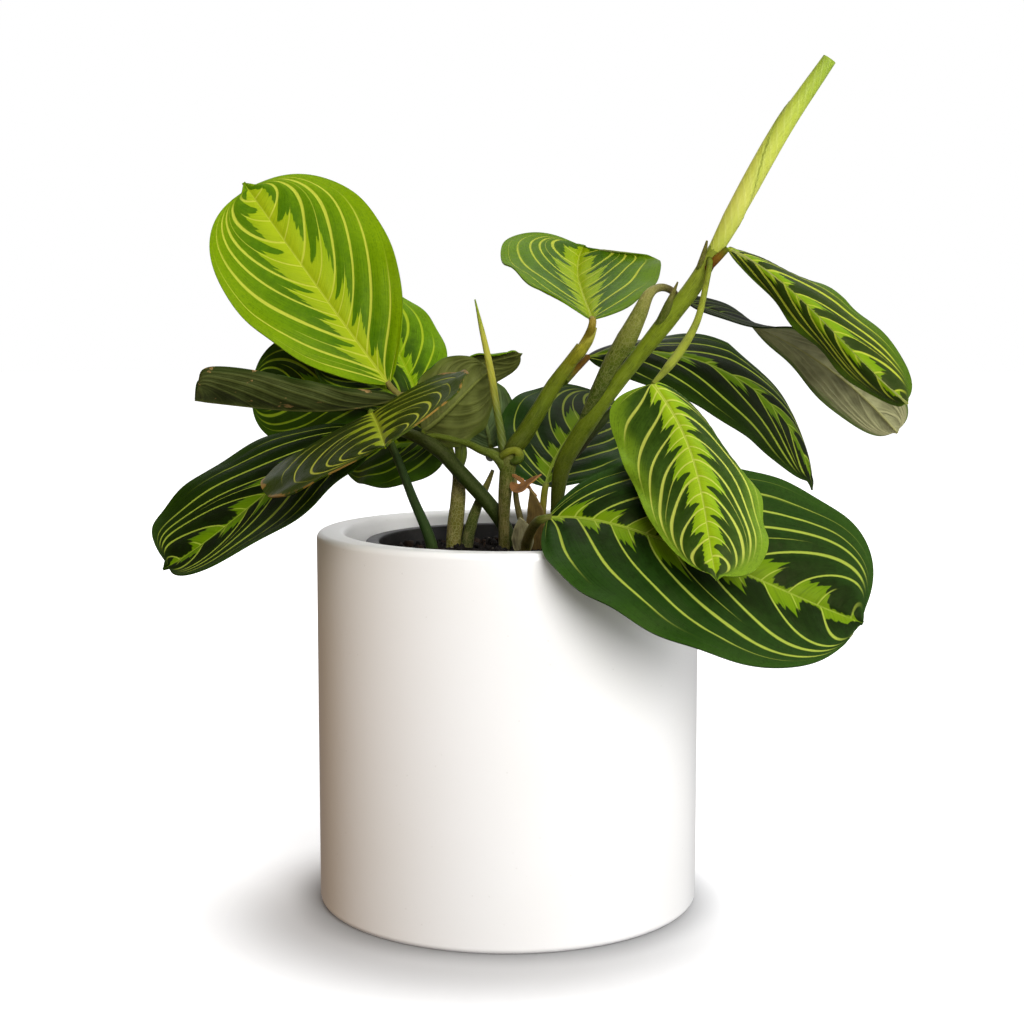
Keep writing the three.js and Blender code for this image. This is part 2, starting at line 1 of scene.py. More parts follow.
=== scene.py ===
"""A prayer plant in a white cylinder planter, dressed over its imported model."""
import math

import bmesh
import bpy
import numpy as np
from mathutils import Matrix, Vector


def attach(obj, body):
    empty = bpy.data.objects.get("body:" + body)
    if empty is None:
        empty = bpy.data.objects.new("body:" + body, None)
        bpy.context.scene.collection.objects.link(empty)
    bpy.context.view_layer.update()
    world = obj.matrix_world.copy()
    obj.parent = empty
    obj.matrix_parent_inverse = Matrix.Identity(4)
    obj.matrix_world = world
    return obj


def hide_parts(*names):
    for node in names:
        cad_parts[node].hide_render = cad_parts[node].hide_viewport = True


bl_info = {
    "name": "Potted prayer plant",
    "version": (1, 0, 0),
    "blender": (4, 5, 0),
    "location": "3D View > Sidebar > Prayer plant",
    "description": "Models the planter, soil, stems and patterned leaves of a prayer plant",
    "category": "Add Mesh",
}

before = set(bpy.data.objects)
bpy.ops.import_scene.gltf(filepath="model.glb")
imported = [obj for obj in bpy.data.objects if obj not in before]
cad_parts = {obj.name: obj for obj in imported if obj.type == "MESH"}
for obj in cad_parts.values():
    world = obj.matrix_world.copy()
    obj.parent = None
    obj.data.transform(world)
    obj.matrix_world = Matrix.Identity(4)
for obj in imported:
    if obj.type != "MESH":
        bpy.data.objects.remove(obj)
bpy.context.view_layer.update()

MM = 0.001

# Form of every blade. The last share of the rib is a drawn-out point, which starts and ends at these shares
# of the greatest width. A half curls in full only where it is at least this wide, in mm.
TIP_SHARE = 0.03
TIP_WIDTH = 0.1
END_WIDTH = 0.02
CURL_FULL_WIDTH = 5

# Mesh of every blade: rows along the rib, columns across it, and how widely the columns stand near the rib
# and near the margin
BLADE_ROWS = 110
BLADE_COLUMNS = 48
COLUMNS_AT_RIB = 0.45
COLUMNS_AT_MARGIN = 0.55
BLADE_SMOOTH_ANGLE = 55

# Side veins: how far below the base their fan starts, how much closer they stand towards the tip, how they
# bend towards the tip and run along the margin, and by what part of a step the right ones are shifted
FAN = 0.15
CROWDING = 0.64
VEIN_BEND = 1.5
MARGIN_RUN = 0.25
MARGIN_END = 1.06
SIDE_SHIFT = 0.45

# Marks on the blades: how many teeth the feather has from one vein to the next and how deep they are, the
# width in mm of the fine vein between two main veins, the width in mm of the rib at its base and how much
# it narrows to the tip, and how closely the fine streaks stand on the two faces. The streaks' green is what
# they multiply the blade's colour by, and the dry colours are as seen.
TEETH = 9.0
TOOTH_DEPTH = 0.07
FINE_VEIN_WIDTH = 0.36
RIB_WIDTH = 1.1
RIB_NARROWING = 0.8
UPPER_STREAKS = 26.0
LOWER_STREAKS = 30.0
STREAK_GREEN = (1.55, 1.5, 1.2, 1)
DRY_MARGIN = (214, 160, 104)
DRY_SPOTS = ((112, 70, 40), (236, 196, 160))

# Relief of every blade: how far from a vein and from the rib the fields swell, and the width of the rib's
# groove, in mm. The depths of that groove and of the margin's crinkles are shares of the relief, and ruffle
# is how crinkled a margin is unless its leaf says otherwise.
VEIN_VALLEY = 2.2
RIB_VALLEY = 3.0
RIB_GROOVE = 1.1
GROOVE_DEPTH = 0.9
CRINKLE_DEPTH = 0.25
RUFFLE = 1.6

# How one half of a blade bends unless its leaf says otherwise. share is its width as a share of half the
# greatest width, fold its angle at the rib, curl how far it turns from there to the margin at base, middle
# and tip, and sweep how far its margin leans towards the tip. Its margin has this number of waves, wave mm
# high, from this phase.
HALF = {"share": 1.0, "fold": 8, "curl": [-8, -8, -8], "sweep": 0.0, "wave": 1.0, "waves": 3, "phase": 0.0}

# Leaf blades in mm: rib from base to tip, the way the upper face looks at base and tip, greatest width and
# where it lies along the rib, how blunt the end is, and how each half bends. Angles are in degrees. upper
# and lower name the looks of the two faces, veins is the number of side veins and lean how far they lean
# towards the tip. tip is a shorter drawn-out point and ruffle how crinkled the margin is.
LEAVES = {
    "leaf_tall": {
        "rib": [[-48, 24, 203], [-67, 30, 228], [-87, 38, 255], [-109, 48, 285]],
        "face": [[0.1, -0.93, 0.35], [0, -0.93, 0.35]],
        "width": 71, "broad": 0.66, "blunt": 0.4,
        "left": {"share": 0.94, "fold": 4, "curl": [6, 6, 6]},
        "right": {"share": 1.04, "fold": 4, "curl": [40, 0, -25]},
        "upper": "lime", "lower": "grey_green", "veins": 8.4, "lean": 0.7,
    },
    "leaf_tall_back": {
        "rib": [[-38, 48, 198], [-44, 56, 211], [-52, 63, 226], [-63, 72, 243]],
        "face": [[0.25, -0.9, 0.3], [0.3, -0.85, 0.4]],
        "width": 41, "broad": 0.48, "blunt": 0.52,
        "left": {"fold": 5},
        "right": {"fold": 5, "curl": [-10, -10, -10], "phase": 0.3},
        "upper": "young", "lower": "grey_green", "veins": 7.2, "lean": 0.6,
    },
    "leaf_low_left": {
        "rib": [[-57, 12, 186], [-77, -7, 176], [-103, -25, 155], [-130, -34, 136]],
        "face": [[-0.1, -0.6, 0.8], [-0.35, -0.6, 0.7]],
        "width": 66, "broad": 0.58, "blunt": 0.34,
        "left": {"share": 0.8, "curl": [0, 0, 20]},
        "right": {"share": 1.08, "fold": -3, "curl": [-25, -5, 5], "sweep": 0.2, "phase": 0.4},
        "upper": "deep", "lower": "grey_green", "veins": 9.0, "lean": 0.8,
    },
    "leaf_scrolled": {
        "rib": [[-44, 20, 198], [-71, 14, 193.5], [-97, 6, 195], [-124.5, -2, 198.5]],
        "face": [[0, 0.25, 1], [0, 0.35, 0.9]],
        "width": 37, "broad": 0.86, "blunt": 0.09, "tip": 0.004,
        "left": {"fold": 5, "curl": [66, 66, 55], "wave": 1.2},
        "right": {"share": 0.85, "fold": 5, "curl": [200, 200, 200], "wave": 0},
        "upper": "mature", "lower": "grey_spotted", "veins": 8.2, "lean": 0.8, "ruffle": 5.0,
    },
    "leaf_front_left": {
        "rib": [[-53, -4, 193], [-49, -36, 192], [-45, -70, 190], [-41.5, -98, 187]],
        "face": [[-0.45, -0.1, 0.9], [-0.45, -0.15, 0.9]],
        "width": 98, "broad": 0.5, "blunt": 0.52,
        "left": {"share": 0.78, "waves": 2},
        "right": {"share": 0.98, "curl": [-20, -20, -20], "wave": 3, "waves": 1},
        "upper": "olive_mature", "lower": "grey_green", "veins": 9.4, "lean": 0.6, "ruffle": 5.0,
    },
    "leaf_olive": {
        "rib": [[-34, 12, 185], [-25, 15, 192], [-16, 19, 201], [-7, 23, 209]],
        "face": [[-0.3, 0.9, 0.2], [-0.3, 0.9, 0.3]],
        "width": 36, "broad": 0.5, "blunt": 0.52,
        "left": {"fold": 10},
        "right": {"fold": 10, "phase": 0.2},
        "upper": "mature", "lower": "olive_under", "veins": 7.2, "lean": 0.7,
    },
    "leaf_blue": {
        "rib": [[-7, 46, 175.5], [-9, 50, 184.5], [-12, 54, 194], [-15, 59, 203]],
        "face": [[0.1, 0.9, 0.3], [0.1, 0.9, 0.3]],
        "width": 28, "broad": 0.5, "blunt": 0.52,
        "left": {"fold": 5},
        "right": {"fold": 5, "phase": 0.6},
        "upper": "mature", "lower": "blue_under", "veins": 6.2, "lean": 0.7,
    },
    "leaf_level": {
        "rib": [[-31, 47, 193], [-21, 48.5, 206], [-8, 48.5, 211.5], [6, 45, 215]],
        "face": [[0, 1, 0.1], [0, 0.9, 0.4]],
        "width": 34, "broad": 0.52, "blunt": 0.5,
        "left": {"share": 0.65, "fold": 0, "curl": [10, 10, 10]},
        "right": {"share": 0.5, "fold": 0, "curl": [-60, -90, -100], "phase": 0.5},
        "upper": "young", "lower": "olive_under", "veins": 7.2, "lean": 0.7,
    },
    "leaf_left_back": {
        "rib": [[-46, 33, 195], [-66, 39, 200], [-87, 46, 200], [-109, 50, 199]],
        "face": [[0, -0.85, 0.5], [0, -0.9, 0.4]],
        "width": 52, "broad": 0.6, "blunt": 0.4,
        "left": {"phase": 0.1},
        "right": {"phase": 0.7},
        "upper": "bright_dark", "lower": "grey_green", "veins": 8.2, "lean": 0.7,
    },
    "leaf_left_inner": {
        "rib": [[-40, 31, 196], [-53, 32, 202], [-66, 34, 208], [-80, 36, 214]],
        "face": [[0, -0.8, 0.6], [0, -0.9, 0.4]],
        "width": 27, "broad": 0.5, "blunt": 0.52,
        "left": {"phase": 0.2},
        "right": {"phase": 0.8},
        "upper": "bright_dark", "lower": "grey_green", "veins": 7.2, "lean": 0.7,
    },
    "leaf_under": {
        "rib": [[-25, 30, 181], [-41, 34, 179], [-56, 42, 177], [-71, 50, 173]],
        "face": [[0, -0.8, 0.6], [0, -0.8, 0.6]],
        "width": 46, "broad": 0.42, "blunt": 0.52,
        "left": {"phase": 0.5},
        "right": {"share": 0.6},
        "upper": "bright_dark", "lower": "grey_green", "veins": 7.2, "lean": 0.7,
    },
    "leaf_heart": {
        "rib": [[33, 2, 229], [31, 24, 237], [29, 48, 248], [32, 62, 260]],
        "face": [[-0.05, -0.4, 0.92], [0, -0.4, 0.92]],
        "width": 66, "broad": 0.66, "blunt": 0.35,
        "left": {"fold": 22, "curl": [15, -10, -25], "sweep": 0.17},
        "right": {"share": 1.04, "fold": 14, "curl": [-10, -10, -10], "sweep": -0.05, "phase": 0.5},
        "upper": "heart", "lower": "grey_green", "veins": 8.2, "lean": 0.6,
    },
    "leaf_arched": {
        "rib": [[32, 20, 214], [73, 36, 214], [110, 50, 194], [129, 54, 157]],
        "face": [[0, -0.55, 0.85], [0.65, -0.6, 0.45]],
        "width": 50, "broad": 0.5, "blunt": 0.52,
        "left": {"share": 0.85, "fold": -5, "curl": [-70, 0, -60]},
        "right": {"share": 0.92, "fold": -10, "curl": [-15, -15, -25], "phase": 0.3},
        "upper": "deep", "lower": "grey_green", "veins": 7.4, "lean": 0.9,
    },
    "leaf_upper_right": {
        "rib": [[83, -20, 256], [105, -26, 241.5], [126, -34, 220], [150, -38, 197]],
        "face": [[0.2, -0.6, 0.8], [0.6, -0.75, 0.2]],
        "width": 42, "broad": 0.58, "blunt": 0.45, "tip": 0.012,
        "left": {"share": 0.9, "curl": [-95, -20, 0], "sweep": 0.12},
        "right": {"share": 0.57, "fold": -70, "curl": [-40, -40, -40], "sweep": 0.3},
        "upper": "patchy", "lower": "grey_green", "veins": 8.4, "lean": 0.6,
    },
    "leaf_taupe": {
        "rib": [[70, 4, 236], [98, 12, 227], [129, 20, 210], [160, 24, 181]],
        "face": [[0, -0.5, 0.85], [0.35, 0.8, 0.3]],
        "width": 36, "broad": 0.62, "blunt": 0.35, "tip": 0.008,
        "left": {"phase": 0.4},
        "right": {},
        "upper": "black_green", "lower": "taupe_under", "veins": 9.0, "lean": 0.7,
    },
    "leaf_hanging": {
        "rib": [[52.5, -56, 206.5], [64, -74, 185], [68, -92, 164], [71, -104, 142]],
        "face": [[0.1, -0.85, 0.5], [0.1, -0.9, 0.3]],
        "width": 50, "broad": 0.42, "blunt": 0.4,
        "left": {"share": 0.97, "fold": 5, "curl": [-120, -45, 0], "sweep": 0.42, "wave": 1.4},
        "right": {"share": 0.98, "fold": -20, "curl": [-15, -15, -15], "sweep": -0.5},
        "upper": "fresh", "lower": "grey_green", "veins": 9.6, "lean": 0.3, "ruffle": 2.2,
    },
    "leaf_big_right": {
        "rib": [[15, -62, 158.5], [47, -73, 155], [88, -78, 139], [128, -76, 122]],
        "face": [[0, -0.7, 0.7], [0.1, -0.85, 0.5]],
        "width": 80, "broad": 0.6, "blunt": 0.4, "tip": 0.015,
        "left": {"sweep": 0.25, "waves": 4},
        "right": {"share": 0.95, "curl": [-5, -5, -5], "sweep": -0.3, "waves": 4, "phase": 0.5},
        "upper": "mature", "lower": "grey_green", "veins": 9.2, "lean": 0.5, "ruffle": 2.5,
    },
    "leaf_behind": {
        "rib": [[15, 8, 163], [21, 28, 176], [31, 46, 187], [44, 66, 196]],
        "face": [[0, -0.75, 0.65], [0, -0.75, 0.65]],
        "width": 58, "broad": 0.5, "blunt": 0.52,
        "left": {"phase": 0.6},
        "right": {"phase": 0.2},
        "upper": "mature", "lower": "grey_green", "veins": 8.2, "lean": 0.6,
    },
}

# Dried sheaths at the foot of the shoots, small curled blades. crossing is a second strand over the first.
HUSK_VEINS = {"veins": 5.0, "lean": 2.0}
HUSK_RELIEF = 0.1
SHEATHS = {
    "sheath_grey": {
        "rib": [[6, -14, 139], [6, -15, 144], [5.5, -16, 149], [4.5, -16, 153.5]],
        "face": [[0.2, -1, 0], [0, -1, 0.1]],
        "width": 9, "broad": 0.35, "blunt": 0.8,
        "left": {"curl": [-70, -60, -40], "wave": 0.3},
        "right": {"curl": [-70, -60, -40], "wave": 0.3, "phase": 0.4},
        "colour": (126, 120, 86),
    },
    "sheath_brown": {
        "rib": [[11, -6, 139], [11, -8, 148], [10.5, -9, 156], [8.5, -9, 164]],
        "face": [[-0.4, -1, 0], [-0.2, -1, 0.2]],
        "width": 8, "broad": 0.35, "blunt": 0.8,
        "left": {"curl": [-60, -50, -30], "wave": 0.3},
        "right": {"curl": [-60, -50, -30], "wave": 0.3, "phase": 0.3},
        "colour": (112, 92, 46),
    },
    "sheath_curled": {
        "rib": [[1.4, -0.6, 165.5], [4.5, -4, 163.5], [8.5, -6.5, 166], [13, -9, 169.5]],
        "face": [[-0.3, -0.8, 0.5], [-0.3, -0.4, 0.9]],
        "width": 4.5, "broad": 0.4, "blunt": 0.8,
        "left": {"curl": [-60, 0, 60], "wave": 0.2},
        "right": {"curl": [-60, 0, 60], "wave": 0.2, "phase": 0.3},
        "crossing": {"rib": [[1.6, 0.6, 168.5], [4.5, -1, 167], [7.5, -2.5, 164.5], [11.5, -4, 160.5]],
                     "width": 1.6},
        "colour": (150, 104, 56),
    },
}

# Colours of stalks, as seen, from 0 to 255
NETTED = (92, 106, 48)
GREEN = (104, 122, 44)
DEEP = (44, 62, 28)
BLUISH = (48, 76, 50)
BRIGHT = (128, 146, 52)
YELLOW = (160, 170, 66)
REDDISH = (120, 66, 38)
ORANGE = (146, 104, 44)
STRAW = (150, 140, 82)
GREY = (104, 96, 70)
# Nearly black: painted shade on the stems low down at the soil and on the stalk in shade under stem_right's
# main stalk
SHADE_BLACK = (34, 36, 20)

# Stalks in mm, as points and radii at even steps. The first of each stem is rooted, and one with a leaf
# ends at that leaf's base. bent_back says that the blade turns back over its stalk, which then has no
# straight neck. Tints run from start to end; finish is how ribbed, netted and dry it is.
STEMS = {
    "stem_left": {
        "root": [-22, 14],
        "stalks": [
            {"points": [[-21, 14, 148], [-20, 15, 158], [-20, 17, 166], [-21, 19, 171]],
             "radii": [2.7, 2.9, 3.3, 3, 1.8], "tints": [DEEP, (134, 132, 68), (140, 136, 74), GREY],
             "finish": (0.6, 1, 0.3)},
            {"points": [[-20.5, 17, 167], [-27, 24, 180], [-37, 26, 193]], "radii": [1.8, 1.4, 1.2],
             "leaf": "leaf_tall", "tints": [NETTED, STRAW, STRAW], "finish": (0.5, 0, 0.2)},
            {"points": [[-20.5, 17, 167], [-26, 27, 183], [-31, 36, 192]], "radii": [1.8, 1.3, 1.1],
             "leaf": "leaf_tall_back", "tints": [NETTED, GREEN, YELLOW], "finish": (0.5, 0, 0)},
            {"points": [[-20.5, 17, 167], [-27, 26, 182], [-36, 31, 192]], "radii": [1.8, 1.3, 1.1],
             "leaf": "leaf_left_back", "tints": [NETTED, GREEN, YELLOW], "finish": (0.5, 0, 0)},
            {"points": [[-20.5, 17, 167], [-27, 24, 181], [-33, 29, 191]], "radii": [1.6, 1.2, 0.9],
             "leaf": "leaf_left_inner", "tints": [NETTED, GREEN, GREEN], "finish": (0.5, 0, 0)},
            {"points": [[-20.5, 17, 167], [-27, 22, 179], [-35, 23, 192]], "radii": [1.8, 1.3, 1.1],
             "leaf": "leaf_scrolled", "tints": [NETTED, GREEN, STRAW], "finish": (0.5, 0, 0.1)},
            {"points": [[-20.5, 17, 167], [-18, 30, 176], [-24, 42, 186]], "radii": [1.6, 1.2, 1],
             "leaf": "leaf_level", "bent_back": True, "tints": [NETTED, GREEN, YELLOW],
             "finish": (0.5, 0, 0)},
            {"points": [[-20.5, 17, 166], [-20, 23, 174]], "radii": [1.6, 1.2], "leaf": "leaf_under",
             "tints": [NETTED, GREEN], "finish": (0.5, 0, 0)},
        ],
    },
    "stem_low": {
        "root": [1, 9],
        "stalks": [
            {"points": [[-0.5, 8.5, 145], [-5.5, 8, 153.5], [-19.5, 7, 169.5], [-26.5, 6, 177],
                        [-34, 5.5, 182], [-45, 10, 185.5]],
             "radii": [3, 3, 3, 3, 2.9, 2, 1.3], "leaf": "leaf_low_left",
             # Nearly black at the foot: painted shade among the stems at the soil
             "tints": [SHADE_BLACK, DEEP, DEEP, (58, 70, 26), GREEN], "finish": (0.5, 0.1, 0)},
        ],
    },
    "stalk_front_left": {
        "root": [-30, 4],
        "stalks": [
            {"points": [[-38, 3, 160], [-45, 3, 178], [-51, 4, 190]], "radii": [2.8, 2.3, 1.8, 1.5, 1.3],
             "leaf": "leaf_front_left", "tints": [DEEP, BLUISH, BLUISH, BRIGHT], "finish": (0.7, 0, 0)},
        ],
    },
    "stem_centre": {
        "root": [-1.5, 1],
        "stalks": [
            {"points": [[-1.5, 1, 151], [-1, 2, 162], [0, 3, 171], [0.5, 3.5, 178]],
             "radii": [2.3, 2.2, 2.2, 2.8, 3.6], "tints": [DEEP, (86, 84, 34), (84, 86, 34), GREEN],
             "finish": (1, 0.35, 0.2)},
            {"points": [[0.5, 3.5, 173], [2, 4, 178], [6.5, 5, 184], [12, 5, 193], [18, 6, 203],
                        [24.5, 6, 212], [29, 5, 218.5]],
             "radii": [3, 3.7, 3.5, 3.2, 3.1, 2.7, 2.3],
             "tints": [(74, 82, 24), (90, 106, 20), (106, 126, 20), (122, 136, 26), (176, 172, 62)],
             "finish": (0.8, 0.1, 0)},
            {"points": [[27, 5.5, 215], [30.5, 4, 220.5], [32.5, 0, 225.5]], "radii": [2, 1.9, 1.6, 1.3],
             "leaf": "leaf_heart",
             "tints": [(176, 172, 58), (192, 182, 74), (180, 160, 66), (158, 130, 50)],
             "finish": (0.5, 0, 0.1)},
            {"points": [[24.5, 5.5, 212], [29.5, 3.5, 218], [32.5, 1.5, 222], [34.5, 0.5, 226]],
             "radii": [2.2, 2.5, 1.7, 0.4], "tints": [(150, 152, 44), (196, 192, 74), (216, 208, 116)],
             "finish": (0.7, 0, 0)},
            {"points": [[-2.5, 1, 175.5], [0, -0.2, 177.4], [3, -0.4, 178], [4.6, 0.6, 176],
                        [3.6, 0.2, 174], [1, 0.2, 173.4]],
             "radii": [1.4, 1.5, 1.4, 2, 2, 0.9],
             "tints": [(110, 122, 36), (146, 154, 50), (154, 162, 58), (92, 116, 30), (66, 92, 24)],
             "finish": (1, 0.2, 0)},
            {"points": [[22, 6.5, 205], [27, 12.5, 209.5]], "radii": [2, 1.5, 1.3], "leaf": "leaf_arched",
             "bent_back": True, "tints": [GREEN, ORANGE, ORANGE], "finish": (0.4, 0, 0)},
            {"points": [[0, 3, 168], [-4, 2.5, 175], [-11, 5, 178], [-16, 9, 180], [-23.5, 10, 182],
                        [-29, 10, 183], [-33, 10, 183]],
             "radii": [2, 2.2, 1.7, 1.4, 1.3, 1.2, 0.7], "leaf": "leaf_olive", "bent_back": True,
             "tints": [NETTED, GREEN, GREEN, BRIGHT], "finish": (0.6, 0.2, 0)},
            {"points": [[-0.5, 5, 176], [-6, 16, 176.5], [-8, 30, 173], [-7, 40, 171.5]],
             "radii": [2, 1.4, 1.2, 1.1, 1], "leaf": "leaf_blue", "tints": [NETTED, GREEN, GREEN],
             "finish": (0.6, 0, 0)},
        ],
    },
    "stem_side": {
        "root": [-16.5, 13],
        "stalks": [
            {"points": [[-14, 14, 149.5], [-11, 14.5, 157.5], [-8, 15, 164], [-6, 15, 169]],
             "radii": [2.6, 2.6, 2.4, 1.8, 0.7], "tints": [DEEP, DEEP, NETTED, STRAW],
             "finish": (0.8, 0.4, 0.2)},
        ],
    },
    "stem_thin": {
        "root": [7.5, 8.5],
        "stalks": [
            {"points": [[5.5, 8.5, 148], [3.5, 8.5, 157], [2.5, 8.5, 168]], "radii": [1.5, 1.4, 1.3, 0.9],
             "tints": [DEEP, GREY, STRAW], "finish": (0.8, 0.3, 0.4)},
        ],
    },
    "stem_right": {
        "root": [18.5, -8],
        "stalks": [
            {"points": [[19, -8, 155], [20, -8, 166], [21.5, -8, 173], [25.5, -8.5, 181], [34, -10, 194],
                        [42.5, -11, 205.5], [54, -12, 220], [63, -13, 231.5], [71, -14, 242],
                        [79, -15, 256]],
             "radii": [2.2, 2.2, 2.4, 3.4, 3.6, 3.1, 3, 3.5, 3.4, 2.8],
             # Nearly black low down: painted shade at the foot of the stem
             "tints": [SHADE_BLACK, (38, 42, 24), (78, 90, 26), (112, 130, 34), (130, 150, 40), (140, 160, 42),
                       (150, 170, 52), (166, 180, 74)],
             "finish": (0.7, 0.1, 0)},
            {"points": [[29, -10, 191], [35, -13, 203], [40, -15, 213], [45.5, -16.5, 222],
                        [50, -16.5, 231], [54, -14, 239], [59, -8, 241.5], [64, -1, 240]],
             "radii": [1.5, 2.6, 3.2, 3.9, 2.9, 1.6, 1.4, 1.3], "leaf": "leaf_taupe",
             "tints": [(72, 96, 26), (84, 106, 28), (108, 126, 38), (140, 150, 68), (172, 170, 104),
                       (106, 90, 42), (82, 64, 28)],
             "finish": (1, 0.5, 0.1)},
            # A dark stalk along the underside of the main stalk: its nearly black tints are painted shade
            # of that underside and of the leaf above
            {"points": [[22, -8, 173], [27, -7, 179], [34, -5, 187], [43, -2, 196]],
             "radii": [2, 2.3, 2.2, 1.2], "tints": [SHADE_BLACK, SHADE_BLACK, DEEP, DEEP], "finish": (0.5, 0, 0)},
            {"points": [[74, -15, 247], [78.5, -18, 251.5]], "radii": [1.8, 1.6, 1.1],
             "leaf": "leaf_upper_right", "bent_back": True,
             "tints": [REDDISH, REDDISH, ORANGE, (112, 130, 44)], "finish": (0.4, 0, 0)},
            {"points": [[76.5, -15.5, 252.5], [76.3, -20, 250.5], [74.5, -24, 242], [70.5, -33, 229],
                        [64.5, -42, 219.5], [58.5, -50, 212.5]],
             "radii": [1.2, 1.1, 1.2, 1.4, 1.7, 1.7, 0.8], "leaf": "leaf_hanging", "bent_back": True,
             "tints": [GREEN, YELLOW, YELLOW, YELLOW, (140, 150, 60)], "finish": (0.4, 0, 0)},
            {"points": [[73, -15, 247], [75.5, -17, 259]], "radii": [2, 0.4], "tints": [GREEN, STRAW],
             "finish": (0.8, 0.3, 0.4)},
            {"points": [[58, -13.5, 227], [61.5, -17, 236], [64.5, -18, 243.5]], "radii": [2, 1.5, 0.3],
             "tints": [GREEN, GREEN, STRAW], "finish": (0.8, 0.3, 0.2)},
        ],
    },
    "stalk_big_right": {
        "root": [7, -23],
        "stalks": [
            {"points": [[7, -25, 143], [8.5, -36, 150], [10.5, -48, 155]], "radii": [2.2, 2, 1.8, 1.5],
             "leaf": "leaf_big_right", "tints": [DEEP, STRAW, GREEN], "finish": (0.7, 0.2, 0.2)},
        ],
    },
    "stalk_behind": {
        "root": [13, 2],
        "stalks": [
            {"points": [[13.5, 2, 150]], "radii": [1.8, 1.5, 1.3], "leaf": "leaf_behind",
             "tints": [DEEP, ORANGE, YELLOW], "finish": (0.6, 0, 0)},
        ],
    },
}

# New leaves that are still rolled up, in mm. turns is how far the free edge winds round from foot to tip.
ROLLED = {
    "rolled_leaf": {
        "points": [[78.6, -14.95, 255.2], [88, -16, 273], [104, -18, 302], [120, -20, 326]],
        "radii": [2.8, 3.7, 3.9, 3.8, 3.6, 3.2, 2.7],
        "turns": 0.9,
        "tints": [(222, 234, 108), (252, 255, 144), (244, 254, 130), (222, 242, 108), (184, 216, 84)],
    },
    "spear_leaf": {
        "points": [[-1.6, 6, 177], [-4.5, 12, 195], [-7, 12, 210], [-13, 11, 237]],
        "radii": [1.7, 1.6, 1.5, 1.4, 1, 0.3],
        "turns": 0.7,
        "tints": [(96, 112, 44), (120, 136, 50), (226, 220, 96), (236, 232, 104), (170, 206, 50)],
    },
}

# Ends of the stalks, in mm: how deep a stem stands in the soil, how far before its leaf's base a stalk's
# straight neck starts, and how far it runs into the leaf
ROOT_DEPTH = 16
APPROACH = 3
LEAF_JOINT_OVERLAP = 1.2

# Mesh of the stalks and the rolled leaves, and the ridges round them. ASKEW is a direction in which no
# stalk sets out, so the first side of each ring is square to it.
STALK_SIDES = 20
ROLLED_SIDES = 36
RINGS_PER_MM = 1.0
FEWEST_RINGS = 8
CURVE_STEPS = 24
BROAD_RIDGES = 7
FINE_RIDGES = 12
RIDGE_TWIST = 0.05
RIDGE_DEPTH = 0.05
ASKEW = [0.3, 1, 0.2]
STALK_SMOOTH_ANGLE = 60

# Free edge of a rolled leaf, in shares of its radius and of the way round: how far in the roll starts and
# how much it grows in one turn, where the edge starts, how wide its seam is, and how its veins slant
ROLL_START = 0.93
ROLL_GROWTH = 0.13
EDGE_START = 0.35
SEAM_WIDTH = 0.05
VEIN_SLANT = 1.5

# Meshes, rounded edges and hidden sizes of the two pots, in metres. A point this close to a ring is on it.
PLANTER_SIDES = 160
PLANTER_BEVELS = 6
NURSERY_SIDES = 128
NURSERY_BEVELS = 4
NURSERY_WALL = 0.0012
NURSERY_CLEARANCE = 0.0003
LIP_ROUND = 0.0011
LIP_UNDERSIDE_ROUND = 0.0004
MOUTH_ROUND = 0.0009
POT_SMOOTH_ANGLE = 35
ON_RING = 1e-5

# Soil in mm: heights, radii at top and foot, waves of its lumps as length and height, how much of that
# height they get, and the smooth rim that lies a little lower
SOIL_CROWN = 138.5
SOIL_EDGE = 136.5
SOIL_BOTTOM = 11.9
SOIL_RADIUS = 50.2
SOIL_FOOT = 41.5
SOIL_GRID = 110
SOIL_SEED = 11
SOIL_SMOOTH_ANGLE = 60
LUMPS = ((17.0, 0.5), (7.3, 0.45), (3.1, 0.4), (1.7, 0.25))
LUMP_SHARE = 0.6
RIM_WIDTH = 0.5
RIM_DROP = 0.3

# Kinds of crumb: name, colour as seen, share of all crumbs, and smallest and largest radius in mm
CRUMBS = (
    ("crumb_peat", (18, 12, 7), 0.78, (0.6, 1.7)),
    ("crumb_bark", (48, 32, 18), 0.16, (0.8, 2.2)),
    ("crumb_mineral", (128, 122, 108), 0.06, (0.4, 0.9)),
)

# Floor: its radius in metres, and in mm how far its painted glow's middle lies to the left and to the
# front, and the radii between which the painted shadow round the planter fades, the near painted glow comes
# up and the far glow turns it white. Then the grey of the painted shadow and the colour of the near painted
# glow.
FLOOR_RADIUS = 6
FLOOR_SIDES = 96
GLOW_SHIFT = (8, 24, 0)
FOOT_SHADE = (90.0, 73.0)
NEAR_GLOW = (64.0, 122.0)
FAR_GLOW = (150.0, 900.0)
# Grey painted into the floor round the planter's foot as its shadow
PAINTED_SHADOW_COLOUR = (0.16, 0.16, 0.165, 1)
NEAR_LIGHT = (0.56, 0.56, 0.56, 1)

# Soft lamps in metres. The power of each is the property of that name in StageLook.
LAMPS = {
    "key": {"place": (0.34, -1.25, 0.75), "target": (0, 0, 0.12), "size": 0.9, "colour": (1.0, 0.99, 0.97)},
    "top": {"place": (0.2, 0.35, 1.4), "target": (0, 0, 0.1), "size": 1.6, "colour": (1, 1, 1)},
    "side": {"place": (1.2, -0.2, 0.5), "target": (0, 0, 0.15), "size": 0.8, "colour": (1, 1, 1)},
    "back": {"place": (-0.25, 1.3, 0.6), "target": (0, 0, 0.2), "size": 1.2, "colour": (1, 1, 1)},
}

